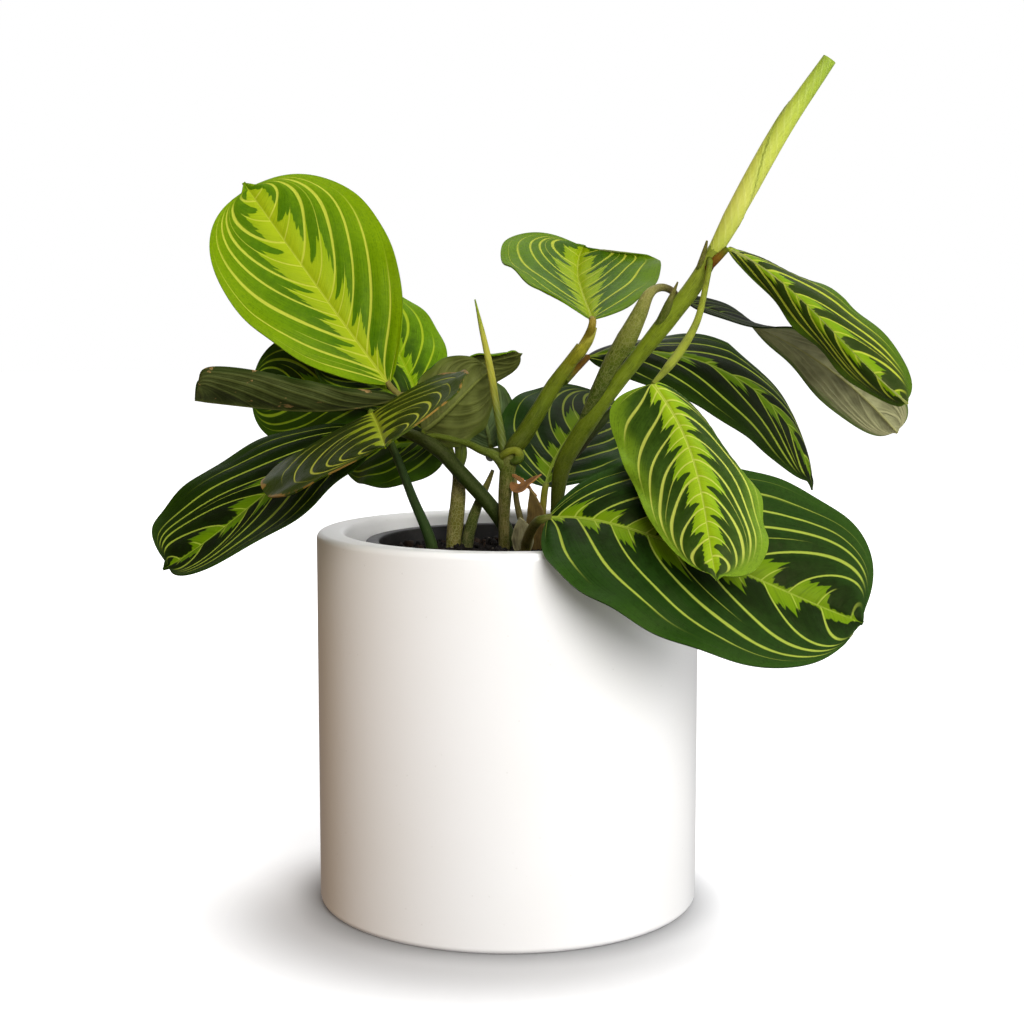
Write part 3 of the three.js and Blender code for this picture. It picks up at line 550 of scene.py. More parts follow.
# Light of the surroundings from the left, 0, to the right, 1
AIR = [
    (0.0, (0.42, 0.25, 0.09, 1)), (0.13, (0.18, 0.11, 0.045, 1)), (0.3, (0.165, 0.16, 0.17, 1)),
    (0.5, (0.3, 0.3, 0.32, 1)), (0.8, (0.36, 0.36, 0.37, 1)),
]

# Camera: width of its sensor in mm, and in metres how near it still sees
SENSOR_WIDTH = 36
NEAREST_VIEW = 0.01

# Slot of each node that is dressed; dressing only checks that the node has one
SLOTS = {
    "leaf_bright": ["leaf_tall", "leaf_tall_back", "leaf_level", "leaf_heart", "leaf_hanging",
                    "leaf_upper_right", "rolled_leaf", "spear_leaf"],
    "leaf_dark": ["leaf_low_left", "leaf_front_left", "leaf_left_back", "leaf_left_inner", "leaf_under",
                  "leaf_arched", "leaf_big_right", "leaf_behind"],
    "leaf_underside": ["leaf_scrolled", "leaf_olive", "leaf_blue", "leaf_taupe"],
    "stalk_green": ["stem_left", "stem_centre", "stem_right", "stalk_big_right", "stalk_behind"],
    "stalk_dark": ["stem_low", "stalk_front_left", "stem_side", "stem_thin"],
    "dry_sheath": ["sheath_grey", "sheath_brown", "sheath_curled"],
    "planter": ["planter"],
    "nursery_pot": ["nursery_pot"],
    "soil": ["soil"],
}

# How the upper faces look, in colours as seen. reach is how far the lime feather goes towards the margin,
# edge where the lighter margin starts, vein_width the greatest vein width in mm, and fade how far out the
# veins run. gloss is how shiny the face is, dry_edge how dry its margin, and lobes the form of the feather.
GLOSS = 0.12
UPPER = {
    "lime": {
        "vein": (222, 230, 98), "feather": (172, 200, 36), "heart": (192, 212, 46),
        "field": (110, 150, 2), "shade": (78, 122, 2), "margin": (132, 168, 8),
        "reach": 0.95, "edge": 0.7, "vein_width": 1.0, "fade": 0.9, "gloss": 0.08, "lobes": "full",
    },
    "young": {
        "vein": (188, 212, 56), "feather": (140, 184, 12), "heart": (156, 196, 20),
        "field": (104, 148, 2), "shade": (58, 94, 2), "margin": (116, 158, 6),
        "reach": 0.7, "edge": 0.76, "vein_width": 0.9, "fade": 0.86, "lobes": "full",
    },
    "heart": {
        "vein": (202, 212, 90), "feather": (144, 174, 16), "heart": (166, 190, 22),
        "field": (86, 124, 2), "shade": (54, 90, 2), "margin": (102, 138, 12),
        "reach": 0.92, "edge": 0.76, "vein_width": 0.8, "fade": 0.88, "gloss": 0.08, "lobes": "full",
    },
    "fresh": {
        "vein": (218, 228, 122), "feather": (146, 188, 34), "heart": (174, 206, 42),
        "field": (62, 92, 40), "shade": (36, 62, 26), "margin": (128, 164, 52),
        "reach": 0.86, "edge": 0.72, "vein_width": 0.82, "fade": 0.9, "lobes": "full",
    },
    "patchy": {
        "vein": (206, 218, 88), "feather": (124, 168, 24), "heart": (150, 186, 34),
        "field": (62, 80, 42), "shade": (40, 60, 28), "margin": (84, 118, 36),
        "reach": 0.74, "edge": 0.72, "vein_width": 0.8, "fade": 0.84, "lobes": "open",
    },
    "bright_dark": {
        "vein": (164, 194, 54), "feather": (84, 138, 18), "heart": (112, 150, 20),
        "field": (46, 78, 14), "shade": (26, 46, 8), "margin": (58, 94, 14),
        "reach": 0.6, "edge": 0.8, "vein_width": 0.85, "fade": 0.86, "lobes": "open",
    },
    "mature": {
        "vein": (188, 206, 100), "feather": (112, 152, 26), "heart": (132, 164, 32),
        "field": (34, 66, 32), "shade": (18, 38, 17), "margin": (46, 82, 34),
        "reach": 0.66, "edge": 0.86, "vein_width": 0.8, "fade": 0.86, "gloss": 0.08, "lobes": "open",
    },
    "olive_mature": {
        "vein": (208, 214, 92), "feather": (150, 170, 34), "heart": (168, 184, 42),
        "field": (44, 60, 14), "shade": (24, 34, 8), "margin": (60, 78, 22),
        "reach": 0.6, "edge": 0.86, "vein_width": 0.75, "fade": 0.86, "gloss": 0.06, "lobes": "open",
        "dry_edge": 0.5,
    },
    "deep": {
        "vein": (178, 198, 88), "feather": (94, 134, 16), "heart": (110, 144, 20),
        "field": (28, 50, 10), "shade": (14, 26, 5), "margin": (42, 70, 12),
        "reach": 0.58, "edge": 0.9, "vein_width": 0.75, "fade": 0.86, "gloss": 0.06, "lobes": "open",
    },
    "black_green": {
        "vein": (104, 124, 64), "feather": (52, 66, 26), "heart": (90, 104, 44),
        "field": (22, 34, 12), "shade": (12, 18, 6), "margin": (26, 40, 14),
        "reach": 0.22, "edge": 0.94, "vein_width": 0.35, "fade": 0.8, "gloss": 0.06, "lobes": "open",
    },
}

# How the undersides look, in colours as seen, and how strong their dry spots are
LOWER = {
    "grey_green": {
        "blade": (138, 152, 104), "vein": (176, 186, 138), "rib": (172, 180, 118), "margin": (124, 148, 78),
        "spots": 0.0,
    },
    "grey_spotted": {
        "blade": (74, 84, 50), "vein": (104, 112, 74), "rib": (128, 130, 82), "margin": (46, 64, 28),
        "spots": 1.0,
    },
    "olive_under": {
        "blade": (106, 114, 66), "vein": (120, 128, 78), "rib": (134, 142, 84), "margin": (100, 114, 54),
        "spots": 0.1,
    },
    "blue_under": {
        "blade": (92, 116, 88), "vein": (128, 150, 112), "rib": (140, 160, 112), "margin": (84, 114, 66),
        "spots": 0.0,
    },
    "taupe_under": {
        "blade": (200, 200, 182), "vein": (232, 230, 212), "rib": (206, 204, 160), "margin": (96, 140, 40),
        "spots": 0.0,
    },
}

# Reach of the feather between one main vein and the next, from the base side to the tip side. full: a lobe
# with teeth, a deep notch, and a wing that runs out along the next vein. open: single lobes like small
# maple leaves, with bare rib between them.
LOBES = {
    "full": [(0.0, 0.28), (0.07, 0.22), (0.2, 0.31), (0.25, 0.27), (0.42, 0.37), (0.5, 0.42), (0.55, 0.31),
             (0.63, 0.32), (0.68, 0.2), (0.76, 0.08), (0.83, 0.12), (0.9, 0.26), (0.96, 0.42), (1.0, 0.46)],
    "open": [(0.0, 0.46), (0.05, 0.34), (0.12, 0.3), (0.17, 0.4), (0.24, 0.33), (0.31, 0.36), (0.38, 0.5),
             (0.43, 0.34), (0.5, 0.26), (0.55, 0.29), (0.6, 0.12), (0.68, 0.04), (0.86, 0.03), (0.95, 0.05),
             (1.0, 0.12)],
}


def linear(colour):
    """A colour as seen, from 0 to 255, as the light values that shaders use."""
    parts = [part / 255 for part in colour]
    return tuple(p / 12.92 if p <= 0.04045 else ((p + 0.055) / 1.055) ** 2.4 for p in parts) + (1.0,)


def pigment(colour, strength=0.6):
    """The paint that looks like this colour under the studio light, which brightens it and adds a gloss."""
    red, green, blue, _ = linear(colour)
    return (strength * red, strength * green, strength * max(0.62 * blue - 0.004, 0.001), 1.0)


def smooth_step(low, high, value):
    share = np.clip((value - low) / (high - low), 0, 1)
    return share * share * (3 - 2 * share)


def hill(distance):
    return np.exp(-(distance**2))


class Value:
    """A shader socket that takes part in Python expressions on numbers."""

    def __init__(self, finish, socket):
        self.finish = finish
        self.socket = socket

    def maths(self, operation, *others):
        return self.finish.add("ShaderNodeMath", {"operation": operation}, dict(enumerate((self, *others))))

    def __add__(self, other):
        return self.maths("ADD", other)

    __radd__ = __add__

    def __sub__(self, other):
        return self.maths("SUBTRACT", other)

    def __rsub__(self, other):
        return self.finish.add("ShaderNodeMath", {"operation": "SUBTRACT"}, {0: other, 1: self})

    def __mul__(self, other):
        return self.maths("MULTIPLY", other)

    __rmul__ = __mul__

    def __truediv__(self, other):
        return self.maths("DIVIDE", other)

    def __abs__(self):
        return self.maths("ABSOLUTE")

    def __gt__(self, other):
        return self.maths("GREATER_THAN", other)

    def fract(self):
        return self.maths("FRACT")

    def floor(self):
        return self.maths("FLOOR")

    def least(self, other):
        return self.maths("MINIMUM", other)

    def most(self, other):
        return self.maths("MAXIMUM", other)

    def step(self, low, high):
        """0 below low, 1 above high and smooth between; low may be the greater one."""
        inputs = {"Value": self, "From Min": low, "From Max": high}
        return self.finish.add("ShaderNodeMapRange", {"interpolation_type": "SMOOTHSTEP"}, inputs)


class Finish:
    """A material whose nodes are made by Python expressions."""

    def __init__(self, name):
        self.material = bpy.data.materials.new(name)
        self.material.use_nodes = True
        self.nodes = self.material.node_tree.nodes
        self.nodes.clear()

    def add(self, kind, settings=None, inputs=None, output=0):
        node = self.nodes.new(kind)
        for name, value in (settings or {}).items():
            if name == "stops":
                self.set_stops(node.color_ramp, value)
            else:
                setattr(node, name, value)
        for name, value in (inputs or {}).items():
            if isinstance(value, Value):
                self.material.node_tree.links.new(value.socket, node.inputs[name])
            elif value is not None:
                node.inputs[name].default_value = value
        return Value(self, node.outputs[output])

    @staticmethod
    def set_stops(ramp, stops):
        while len(ramp.elements) > 1:
            ramp.elements.remove(ramp.elements[-1])
        for i, (place, value) in enumerate(stops):
            element = ramp.elements[0] if i == 0 else ramp.elements.new(place)
            element.position = place
            element.color = value if isinstance(value, tuple) else (value, value, value, 1)

    def mix(self, share, first, second, blend="MIX"):
        inputs = {0: share, 6: first, 7: second}
        return self.add("ShaderNodeMix", {"data_type": "RGBA", "blend_type": blend}, inputs, 2)

    def ramp(self, share, stops):
        return self.add("ShaderNodeValToRGB", {"stops": stops}, {0: share})

    def parts(self, attribute):
        """The three numbers of a point attribute."""
        vector = self.add("ShaderNodeAttribute", {"attribute_name": attribute}, output=1)
        first = self.add("ShaderNodeSeparateXYZ", inputs={0: vector})
        return [Value(self, socket) for socket in first.socket.node.outputs]

    def tint(self, attribute):
        return self.add("ShaderNodeAttribute", {"attribute_name": attribute})

    def place(self, stretch=(1, 1, 1), shift=(0, 0, 0)):
        """Object coordinates in millimetres, stretched and shifted."""
        where = self.add("ShaderNodeTexCoord", output=3)
        scale = tuple(part / MM for part in stretch)
        return self.add("ShaderNodeMapping", inputs={0: where, 1: shift, 3: scale})

    def vector(self, x, y, z=0.0):
        return self.add("ShaderNodeCombineXYZ", inputs={0: x, 1: y, 2: z})

    def noise(self, where, scale, detail=2.0, roughness=0.5):
        inputs = {"Vector": where, "Scale": scale, "Detail": detail, "Roughness": roughness}
        return self.add("ShaderNodeTexNoise", inputs=inputs)

    def cells(self, where, scale, feature="F1"):
        return self.add("ShaderNodeTexVoronoi", {"feature": feature}, {"Vector": where, "Scale": scale})

    def distance(self, where):
        return self.add("ShaderNodeVectorMath", {"operation": "LENGTH"}, {0: where}, output=1)

    def bump(self, height, strength=1.0):
        """A bump whose height is in millimetres."""
        return self.add("ShaderNodeBump", inputs={"Strength": strength, "Distance": MM, "Height": height})

    def surface(self, **sockets):
        named = {name.replace("_", " "): value for name, value in sockets.items()}
        shader = self.add("ShaderNodeBsdfPrincipled", inputs=named)
        output = self.nodes.new("ShaderNodeOutputMaterial")
        self.material.node_tree.links.new(shader.socket, output.inputs["Surface"])
        return self.material


def leaf_upper_finish(name):
    """Upper face of a leaf: main veins, the toothed lime feather along the rib, dark fields and margin."""
    look = UPPER[name]
    finish = Finish("leaf_upper_" + name)
    phase, side, gap = finish.parts("veins")
    along, _, across = finish.parts("place")
    spot = finish.place()
    out = abs(side)
    right = side > 0
    phase = phase + right * SIDE_SHIFT
    cycle = phase.fract()

    # A chance of its own for each vein, and mottle from coarse to fine
    number = phase.floor() + right * 37.0
    chance = finish.add("ShaderNodeTexWhiteNoise", {"noise_dimensions": "1D"}, {"W": number})
    cloud = finish.noise(spot, 0.09, 3.0)
    grain = finish.noise(spot, 0.9, 4.0, 0.6)
    quilt = finish.noise(spot, 0.32, 3.0)
    fine = finish.noise(finish.vector(phase * UPPER_STREAKS, out * 2.0 + along * 3.0), 1.0, 2.0)
    from_vein = cycle.least(1.0 - cycle) * gap
    from_branch = abs(cycle - 0.5) * gap

    # Reach of the lime feather, with a lobe and teeth at each vein
    lobe = finish.ramp(cycle, LOBES[look["lobes"]])
    teeth = abs((phase * TEETH + grain * 0.5).fract() - 0.5) * TOOTH_DEPTH
    reach = (lobe * (0.62 + chance * 0.5) + teeth) * (look["reach"] * (1.1 - 0.25 * along))
    reach = (reach + (grain - 0.5) * 0.03) * along.step(1.0, 0.93)
    feather = (reach - out).step(-0.012, 0.016)

    # Main veins, which taper and fade before the margin, fine veins between them, and the rib
    width = (look["vein_width"] * (0.45 + 1.1 * out) * out.step(1.02, 0.55)).least(gap * 0.26)
    fading = look["fade"] + chance * 0.12
    vein = (from_vein - width * 0.5).step(0.24, -0.14) * (fading - out).step(0.0, 0.14) * gap.step(0.9, 2.4)
    vein = vein * along.step(0.985, 0.93)
    tail = (chance - 0.55).most(0.0) * 0.9
    branch_width = FINE_VEIN_WIDTH * out.step(0.62, 0.1)
    branch = (from_branch - branch_width * 0.5).step(0.2, -0.1) * (reach + tail - out).step(-0.06, 0.06)
    rib_width = RIB_WIDTH - RIB_NARROWING * along
    rib = (abs(across) - rib_width * 0.5).step(0.25, -0.12) * along.step(1.0, 0.9)
    groove = (abs(across) - rib_width * 0.12).step(0.22, -0.08)

    # Dark fields, darkest near the rib and midway between veins, the lighter margin and fine streaks
    dark = (cloud - 0.5) * 0.5 + (quilt - 0.5) * 0.7 + out.step(0.75, 0.15) * 0.62
    dark = dark + (from_vein / gap).step(0.0, 0.3) * 0.2
    field = finish.mix(dark.step(0.1, 0.95), pigment(look["field"]), pigment(look["shade"]))
    margin = out + (cloud - 0.5) * 0.25 + along.step(0.75, 1.0) * 0.12
    margin = margin.step(look["edge"] - 0.12, look["edge"] + 0.22)
    blade = finish.mix(margin, field, pigment(look["margin"]))
    streak = (fine - 0.5) * 0.7 + (grain - 0.5) * 0.5
    pale = finish.mix(1.0, blade, STREAK_GREEN, "MULTIPLY")
    blade = finish.mix((0.5 + streak).step(0.25, 0.8) * 0.5, blade, pale)
    blade = finish.mix((fine * 0.6 + grain * 0.4).step(0.5, 0.34) * 0.5, blade, pigment(look["shade"]))

    # The feather and the veins over the fields, and the dry margin over all
    near_rib = out.step(0.3, 0.02)
    bright = near_rib * 0.8 + (cloud - 0.5) * 0.3
    lime = finish.mix(bright, pigment(look["feather"]), pigment(look["heart"]))
    lime = finish.mix(fine.step(0.45, 0.75) * 0.3, lime, pigment(look["field"]))
    colour = finish.mix(feather, blade, lime)
    colour = finish.mix(branch * 0.85, colour, pigment(look["vein"]))
    colour = finish.mix(vein * 0.95, colour, pigment(look["vein"]))
    colour = finish.mix(rib * 0.8, colour, pigment(look["vein"]))
    colour = finish.mix(groove * 0.6, colour, pigment(look["feather"]))
    worn = (out + (quilt - 0.5) * 0.1).step(0.965, 0.985) * (cloud + (quilt - 0.5) * 0.6).step(0.44, 0.54)
    colour = finish.mix(worn * look.get("dry_edge", 0.0), colour, pigment(DRY_MARGIN))
    height = fine * 0.13 + grain * 0.09 + quilt * 0.25 - vein * 0.12 - branch * 0.06 - rib * 0.1
    rough = 0.42 + (cloud - 0.5) * 0.14 + (grain - 0.5) * 0.16 + vein * 0.06
    return finish.surface(
        Base_Color=colour, Roughness=rough, Normal=finish.bump(height, 0.8),
        Specular_IOR_Level=look.get("gloss", GLOSS), Specular_Tint=(1.0, 1.0, 0.5, 1),
    )


def leaf_lower_finish(name):
    """Underside of a leaf: dull grey or olive with faint raised veins, and dry spots where it has them."""
    look = LOWER[name]
    finish = Finish("leaf_lower_" + name)
    phase, side, gap = finish.parts("veins")
    along, _, across = finish.parts("place")
    spot = finish.place()
    out = abs(side)
    right = side > 0
    phase = phase + right * SIDE_SHIFT
    cycle = phase.fract()
    cloud = finish.noise(spot, 0.12, 3.0)
    grain = finish.noise(spot, 1.1, 4.0, 0.6)
    fine = finish.noise(finish.vector(phase * LOWER_STREAKS, out * 2.0 + along * 3.0), 1.0, 2.0)

    # Main veins, four fine ones between them, and the rib
    vein = (cycle.least(1.0 - cycle) * gap).step(0.75, 0.15) * out.step(1.0, 0.8)
    branch = (abs((phase * 4.0).fract() - 0.5) * gap * 0.25).step(0.4, 0.1)
    rib = (abs(across) - 0.7 + 0.5 * along).step(0.35, -0.2)

    # Mottled skin with fine streaks, under the veins, the margin and the dry spots
    blade = pigment(look["blade"])
    darker = tuple(0.55 * part for part in blade[:3]) + (1,)
    lighter = tuple(min(1.35 * part + 0.01, 1) for part in blade[:3]) + (1,)
    colour = finish.mix((0.5 + (cloud - 0.5) * 1.6).step(0.1, 0.9), darker, lighter)
    colour = finish.mix(fine.step(0.35, 0.75) * 0.4, colour, blade)
    colour = finish.mix(branch * 0.22, colour, pigment(look["vein"]))
    colour = finish.mix((out + (cloud - 0.5) * 0.3).step(0.8, 0.94) * 0.85, colour, pigment(look["margin"]))
    colour = finish.mix(vein * 0.7, colour, pigment(look["vein"]))
    colour = finish.mix(rib * 0.85, colour, pigment(look["rib"]))
    dry = finish.noise(finish.place((1, 1, 2)), 0.11, 4.0, 0.6).step(0.635, 0.66) * look["spots"]
    brown = finish.mix(grain, *(pigment(spot_colour) for spot_colour in DRY_SPOTS))
    colour = finish.mix(dry * 0.85, colour, brown)
    height = vein * 0.22 + rib * 0.35 + fine * 0.08 + grain * 0.06 + branch * 0.05
    return finish.surface(
        Base_Color=colour, Roughness=0.55 + (grain - 0.5) * 0.2, Normal=finish.bump(height, 0.9),
        Specular_IOR_Level=0.15, Specular_Tint=(1.0, 1.0, 0.6, 1),
    )


def stalk_finish():
    """Stalks and stems: tinted along their length, ribbed, netted or dry where their points say so."""
    finish = Finish("stalk_skin")
    length, around, _ = finish.parts("stalk")
    ribbed, netted, dry = finish.parts("finish")
    spot = finish.place()
    long_way = finish.vector(around * 3.0, length * 0.05)
    fibre = finish.noise(long_way, 4.0, 4.0, 0.65)
    cloud = finish.noise(spot, 0.18, 3.0)
    grain = finish.noise(spot, 1.6, 3.0)
    slant = finish.vector(around * 2.2 + length * 0.35, length * 0.55 - around * 1.4)
    net = finish.cells(slant, 1.0, "DISTANCE_TO_EDGE").step(0.02, 0.12)
    lines = (fibre - 0.5) * ribbed
    base = finish.tint("tint")
    dark = finish.mix(1.0, base, (0.38, 0.42, 0.36, 1), "MULTIPLY")
    light = finish.mix(0.3, base, linear((214, 206, 150)))
    colour = finish.mix((0.5 + lines * 2.2 + (cloud - 0.5) * 0.9).step(0.05, 0.6), dark, base)
    colour = finish.mix((lines * 2.0 + (grain - 0.5) * 0.6).step(0.1, 0.6) * 0.55, colour, light)
    colour = finish.mix((1.0 - net) * netted * 0.65, colour, light)
    colour = finish.mix(net * netted * 0.35, colour, dark)
    husk = finish.mix(fibre, linear((92, 70, 42)), linear((190, 170, 124)))
    colour = finish.mix(dry * (cloud + (fibre - 0.5)).step(0.45, 0.65), colour, husk)
    height = fibre * ribbed * 0.35 + (1.0 - net) * netted * 0.22 + grain * 0.06
    return finish.surface(
        Base_Color=colour, Roughness=0.46 + dry * 0.3 + (grain - 0.5) * 0.15, Normal=finish.bump(height),
        Specular_IOR_Level=0.2, Specular_Tint=(1.0, 1.0, 0.5, 1),
    )


def rolled_finish():
    """A rolled new leaf: pale underside with slanting vein lines and a darker seam."""
    finish = Finish("rolled_leaf_skin")
    seam, line, _ = finish.parts("finish")
    spot = finish.place()
    cloud = finish.noise(spot, 0.1, 3.0)
    grain = finish.noise(spot, 1.4, 3.0)
    base = finish.tint("tint")
    slim = (line * 7.0 + (cloud - 0.5) * 0.3).fract()
    stripe = abs(slim - 0.5).step(0.24, 0.5)
    thin = abs((line * 40.0 + (grain - 0.5)).fract() - 0.5).step(0.2, 0.45)
    dark = finish.mix(1.0, base, (0.5, 0.62, 0.42, 1), "MULTIPLY")
    light = finish.mix(0.45, base, linear((236, 240, 180)))
    colour = finish.mix(cloud.step(0.35, 0.85) * 0.25, base, dark)
    colour = finish.mix(stripe * 0.15, colour, light)
    colour = finish.mix(thin * 0.14, colour, dark)
    colour = finish.mix(seam * 0.35, colour, dark)
    height = stripe * 0.06 + thin * 0.05 + grain * 0.05
    return finish.surface(
        Base_Color=colour, Roughness=0.42 + (grain - 0.5) * 0.15, Normal=finish.bump(height),
        Specular_IOR_Level=0.25,
    )


def husk_finish(name, colour):
    """A dried papery sheath with long fibres, darker blotches and a worn pale edge."""
    finish = Finish(name)
    _, side, _ = finish.parts("veins")
    along, _, _ = finish.parts("place")
    spot = finish.place()
    cloud = finish.noise(spot, 0.3, 4.0)
    grain = finish.noise(spot, 2.4, 3.0)
    fibre = finish.noise(finish.vector(side * 14.0, along * 1.4), 1.0, 4.0, 0.6)
    blade = linear(colour)
    dark = tuple(0.32 * part for part in blade[:3]) + (1,)
    pale = tuple(min(1.9 * part + 0.02, 1) for part in blade[:3]) + (1,)
    shade = finish.mix((fibre * 0.7 + cloud * 0.5).step(0.35, 0.75), dark, blade)
    shade = finish.mix(fibre.step(0.55, 0.75) * 0.5 + abs(side).step(0.75, 1.0) * 0.4, shade, pale)
    return finish.surface(
        Base_Color=shade, Roughness=0.72 + (grain - 0.5) * 0.2,
        Normal=finish.bump(fibre * 0.5 + grain * 0.12), Specular_IOR_Level=0.12, Sheen_Weight=0.04,
    )


def glaze_finish(colour):
    """White satin glaze: slight clouding, fine orange-peel and a few faint specks."""
    finish = Finish("planter_glaze")
    spot = finish.place()
    cloud = finish.noise(spot, 0.012, 3.0)
    peel = finish.noise(spot, 0.22, 2.0)
    grain = finish.noise(spot, 1.2, 3.0)
    speck = finish.cells(spot, 0.16).step(0.07, 0.03)
    warm = (colour[0] * 0.955, colour[1] * 0.945, colour[2] * 0.925, 1)
    shade = finish.mix(cloud.step(0.3, 0.75) * 0.6, tuple(colour) + (1,), warm)
    shade = finish.mix(speck * 0.12, shade, linear((150, 140, 126)))
    return finish.surface(
        Base_Color=shade, Roughness=0.34 + (cloud - 0.5) * 0.1 + (grain - 0.5) * 0.05,
        Normal=finish.bump(peel * 0.12 + grain * 0.01, 0.5), Specular_IOR_Level=0.45, Coat_Weight=0.15,
        Coat_Roughness=0.25,
    )


def black_plastic_finish(colour):
    """Thin black nursery-pot plastic: fine moulded grain, and pale scuffs and dust all over."""
    finish = Finish("nursery_plastic")
    spot = finish.place()
    cloud = finish.noise(spot, 0.08, 4.0)
    grain = finish.noise(spot, 2.2, 3.0)
    scuff = finish.noise(finish.place((0.25, 0.25, 2.0)), 0.6, 4.0, 0.7).step(0.58, 0.72)
    shade = finish.mix(cloud.step(0.4, 0.8) * 0.5, tuple(colour) + (1,), linear((46, 43, 39)))
    shade = finish.mix(scuff * 0.22, shade, linear((112, 106, 96)))
    return finish.surface(
        Base_Color=shade, Roughness=0.46 + (cloud - 0.5) * 0.25 + scuff * 0.15,
        Normal=finish.bump(grain * 0.06 + scuff * 0.05), Specular_IOR_Level=0.18,
    )


def soil_finish(colour):
    """Moist potting soil: dark peat, its colour darkened further by painted shade from the leaves, with
    fibres, brown crumbs and light mineral specks.
    """
    finish = Finish("potting_soil")
    spot = finish.place()
    lump = finish.noise(spot, 0.35, 5.0, 0.65)
    grain = finish.noise(spot, 2.0, 4.0, 0.7)
    crumb = finish.cells(spot, 0.45)
    pale = finish.cells(spot, 0.2).step(0.16, 0.1)
    fibre = finish.noise(finish.place((0.3, 2.2, 1.0)), 0.7, 3.0).step(0.62, 0.7)
    dark = tuple(0.35 * part for part in colour) + (1,)
    shade = finish.mix(lump.step(0.3, 0.75), dark, tuple(colour) + (1,))
    shade = finish.mix(grain.step(0.55, 0.8) * 0.4, shade, linear((84, 60, 38)))
    shade = finish.mix(fibre * 0.3, shade, linear((104, 78, 50)))
    shade = finish.mix(pale * 0.45, shade, linear((160, 152, 134)))
    return finish.surface(
        Base_Color=shade, Roughness=0.86 + (grain - 0.5) * 0.2,
        Normal=finish.bump(lump * 0.8 + grain * 0.35 - crumb * 0.3), Specular_IOR_Level=0.1,
    )


def crumb_finish(name, colour):
    """Crumbs that lie on the soil."""
    finish = Finish(name)
    spot = finish.place()
    lump = finish.noise(spot, 0.8, 4.0, 0.6)
    grain = finish.noise(spot, 3.0, 3.0)
    base = linear(colour)
    shade = finish.mix(lump.step(0.3, 0.7), tuple(0.45 * part for part in base[:3]) + (1,), base)
    return finish.surface(
        Base_Color=shade, Roughness=0.85 + (grain - 0.5) * 0.2,
        Normal=finish.bump(lump * 0.4 + grain * 0.2), Specular_IOR_Level=0.25,
    )


def floor_finish(colour):
    """Plain pale studio floor with a barely visible mottle, and a painted glow that comes up away from the
    planter and turns it white far away.

    A painted shadow darkens it close round the planter, and the painted glow starts further out on the
    left, so that the floor there keeps a painted shadow of the planter.
    """
    finish = Finish("studio_floor")
    spot = finish.place()
    cloud = finish.noise(spot, 0.01, 2.0)
    under = finish.distance(spot)
    reach = finish.distance(finish.place(shift=GLOW_SHIFT))
    shade = finish.mix(cloud, tuple(colour) + (1,), tuple(0.98 * part for part in colour) + (1,))
    # Painted shadow: grey mixed into the floor close round the planter's foot
    shade = finish.mix(under.step(*FOOT_SHADE) * 0.5, shade, PAINTED_SHADOW_COLOUR)
    # Painted glow: the floor gives off light, except close round the planter, where the gap is a painted
    # shadow
    near = finish.mix(reach.step(*NEAR_GLOW), (0, 0, 0, 1), NEAR_LIGHT)
    glow = finish.mix(reach.step(*FAR_GLOW), near, (1, 1, 1, 1))
    return finish.surface(
        Base_Color=shade, Roughness=0.9, Specular_IOR_Level=0.1, Emission_Color=glow, Emission_Strength=1.0,
    )


def deselect():
    if bpy.context.object and bpy.context.object.mode != "OBJECT":
        bpy.ops.object.mode_set(mode="OBJECT")
    bpy.ops.object.select_all(action="DESELECT")


def slot_of(node):
    for slot, nodes in SLOTS.items():
        if node in nodes:
            return slot
    raise ValueError("no slot holds " + node)


def dress(piece, node):
    """Puts the piece in place of its CAD node."""
    piece.name = "look_" + node
    piece.data.name = piece.name
    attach(piece, "root")
    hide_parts(node)
    slot_of(node)


def settle_transform(piece):
    deselect()
    piece.select_set(True)
    bpy.context.view_layer.objects.active = piece
    bpy.ops.object.transform_apply(location=True, rotation=True, scale=True)


def coordinates(mesh):
    flat = np.empty(len(mesh.vertices) * 3)
    mesh.vertices.foreach_get("co", flat)
    return flat.reshape(-1, 3)


def set_coordinates(mesh, points):
    mesh.vertices.foreach_set("co", np.ascontiguousarray(points, dtype=np.float64).ravel())
    mesh.update()


def set_vectors(mesh, name, rows):
    attribute = mesh.attributes.new(name, "FLOAT_VECTOR", "POINT")
    attribute.data.foreach_set("vector", np.ascontiguousarray(rows, dtype=np.float32).ravel())


def set_tints(mesh, rows):
    attribute = mesh.attributes.new("tint", "FLOAT_COLOR", "POINT")
    full = np.column_stack([rows, np.ones(len(rows))])
    attribute.data.foreach_set("color", np.ascontiguousarray(full, dtype=np.float32).ravel())


def apply_modifiers(piece):
    for modifier in list(piece.modifiers):
        bpy.ops.object.modifier_apply(modifier=modifier.name)


def unit(rows):
    return rows / np.maximum(np.linalg.norm(rows, axis=-1, keepdims=True), 1e-9)


def dot(a, b):
    return np.sum(a * b, axis=-1, keepdims=True)


def rib_curve(leaf, t):
    """Points and directions of the curve through a rib's four points."""
    base, near, far, tip = (np.array(point, dtype=float) for point in leaf["rib"])
    second = (-5 * base + 18 * near - 9 * far + 2 * tip) / 6
    third = (2 * base - 9 * near + 18 * far - 5 * tip) / 6
    t = t[:, None]
    u = 1 - t
    centre = u**3 * base + 3 * u**2 * t * second + 3 * u * t**2 * third + t**3 * tip
    forward = 3 * u**2 * (second - base) + 6 * u * t * (third - second) + 3 * t**2 * (tip - third)
    return centre, unit(forward)


def tip_share(leaf):
    """How much of its rib is the drawn-out point."""
    return leaf.get("tip", TIP_SHARE)


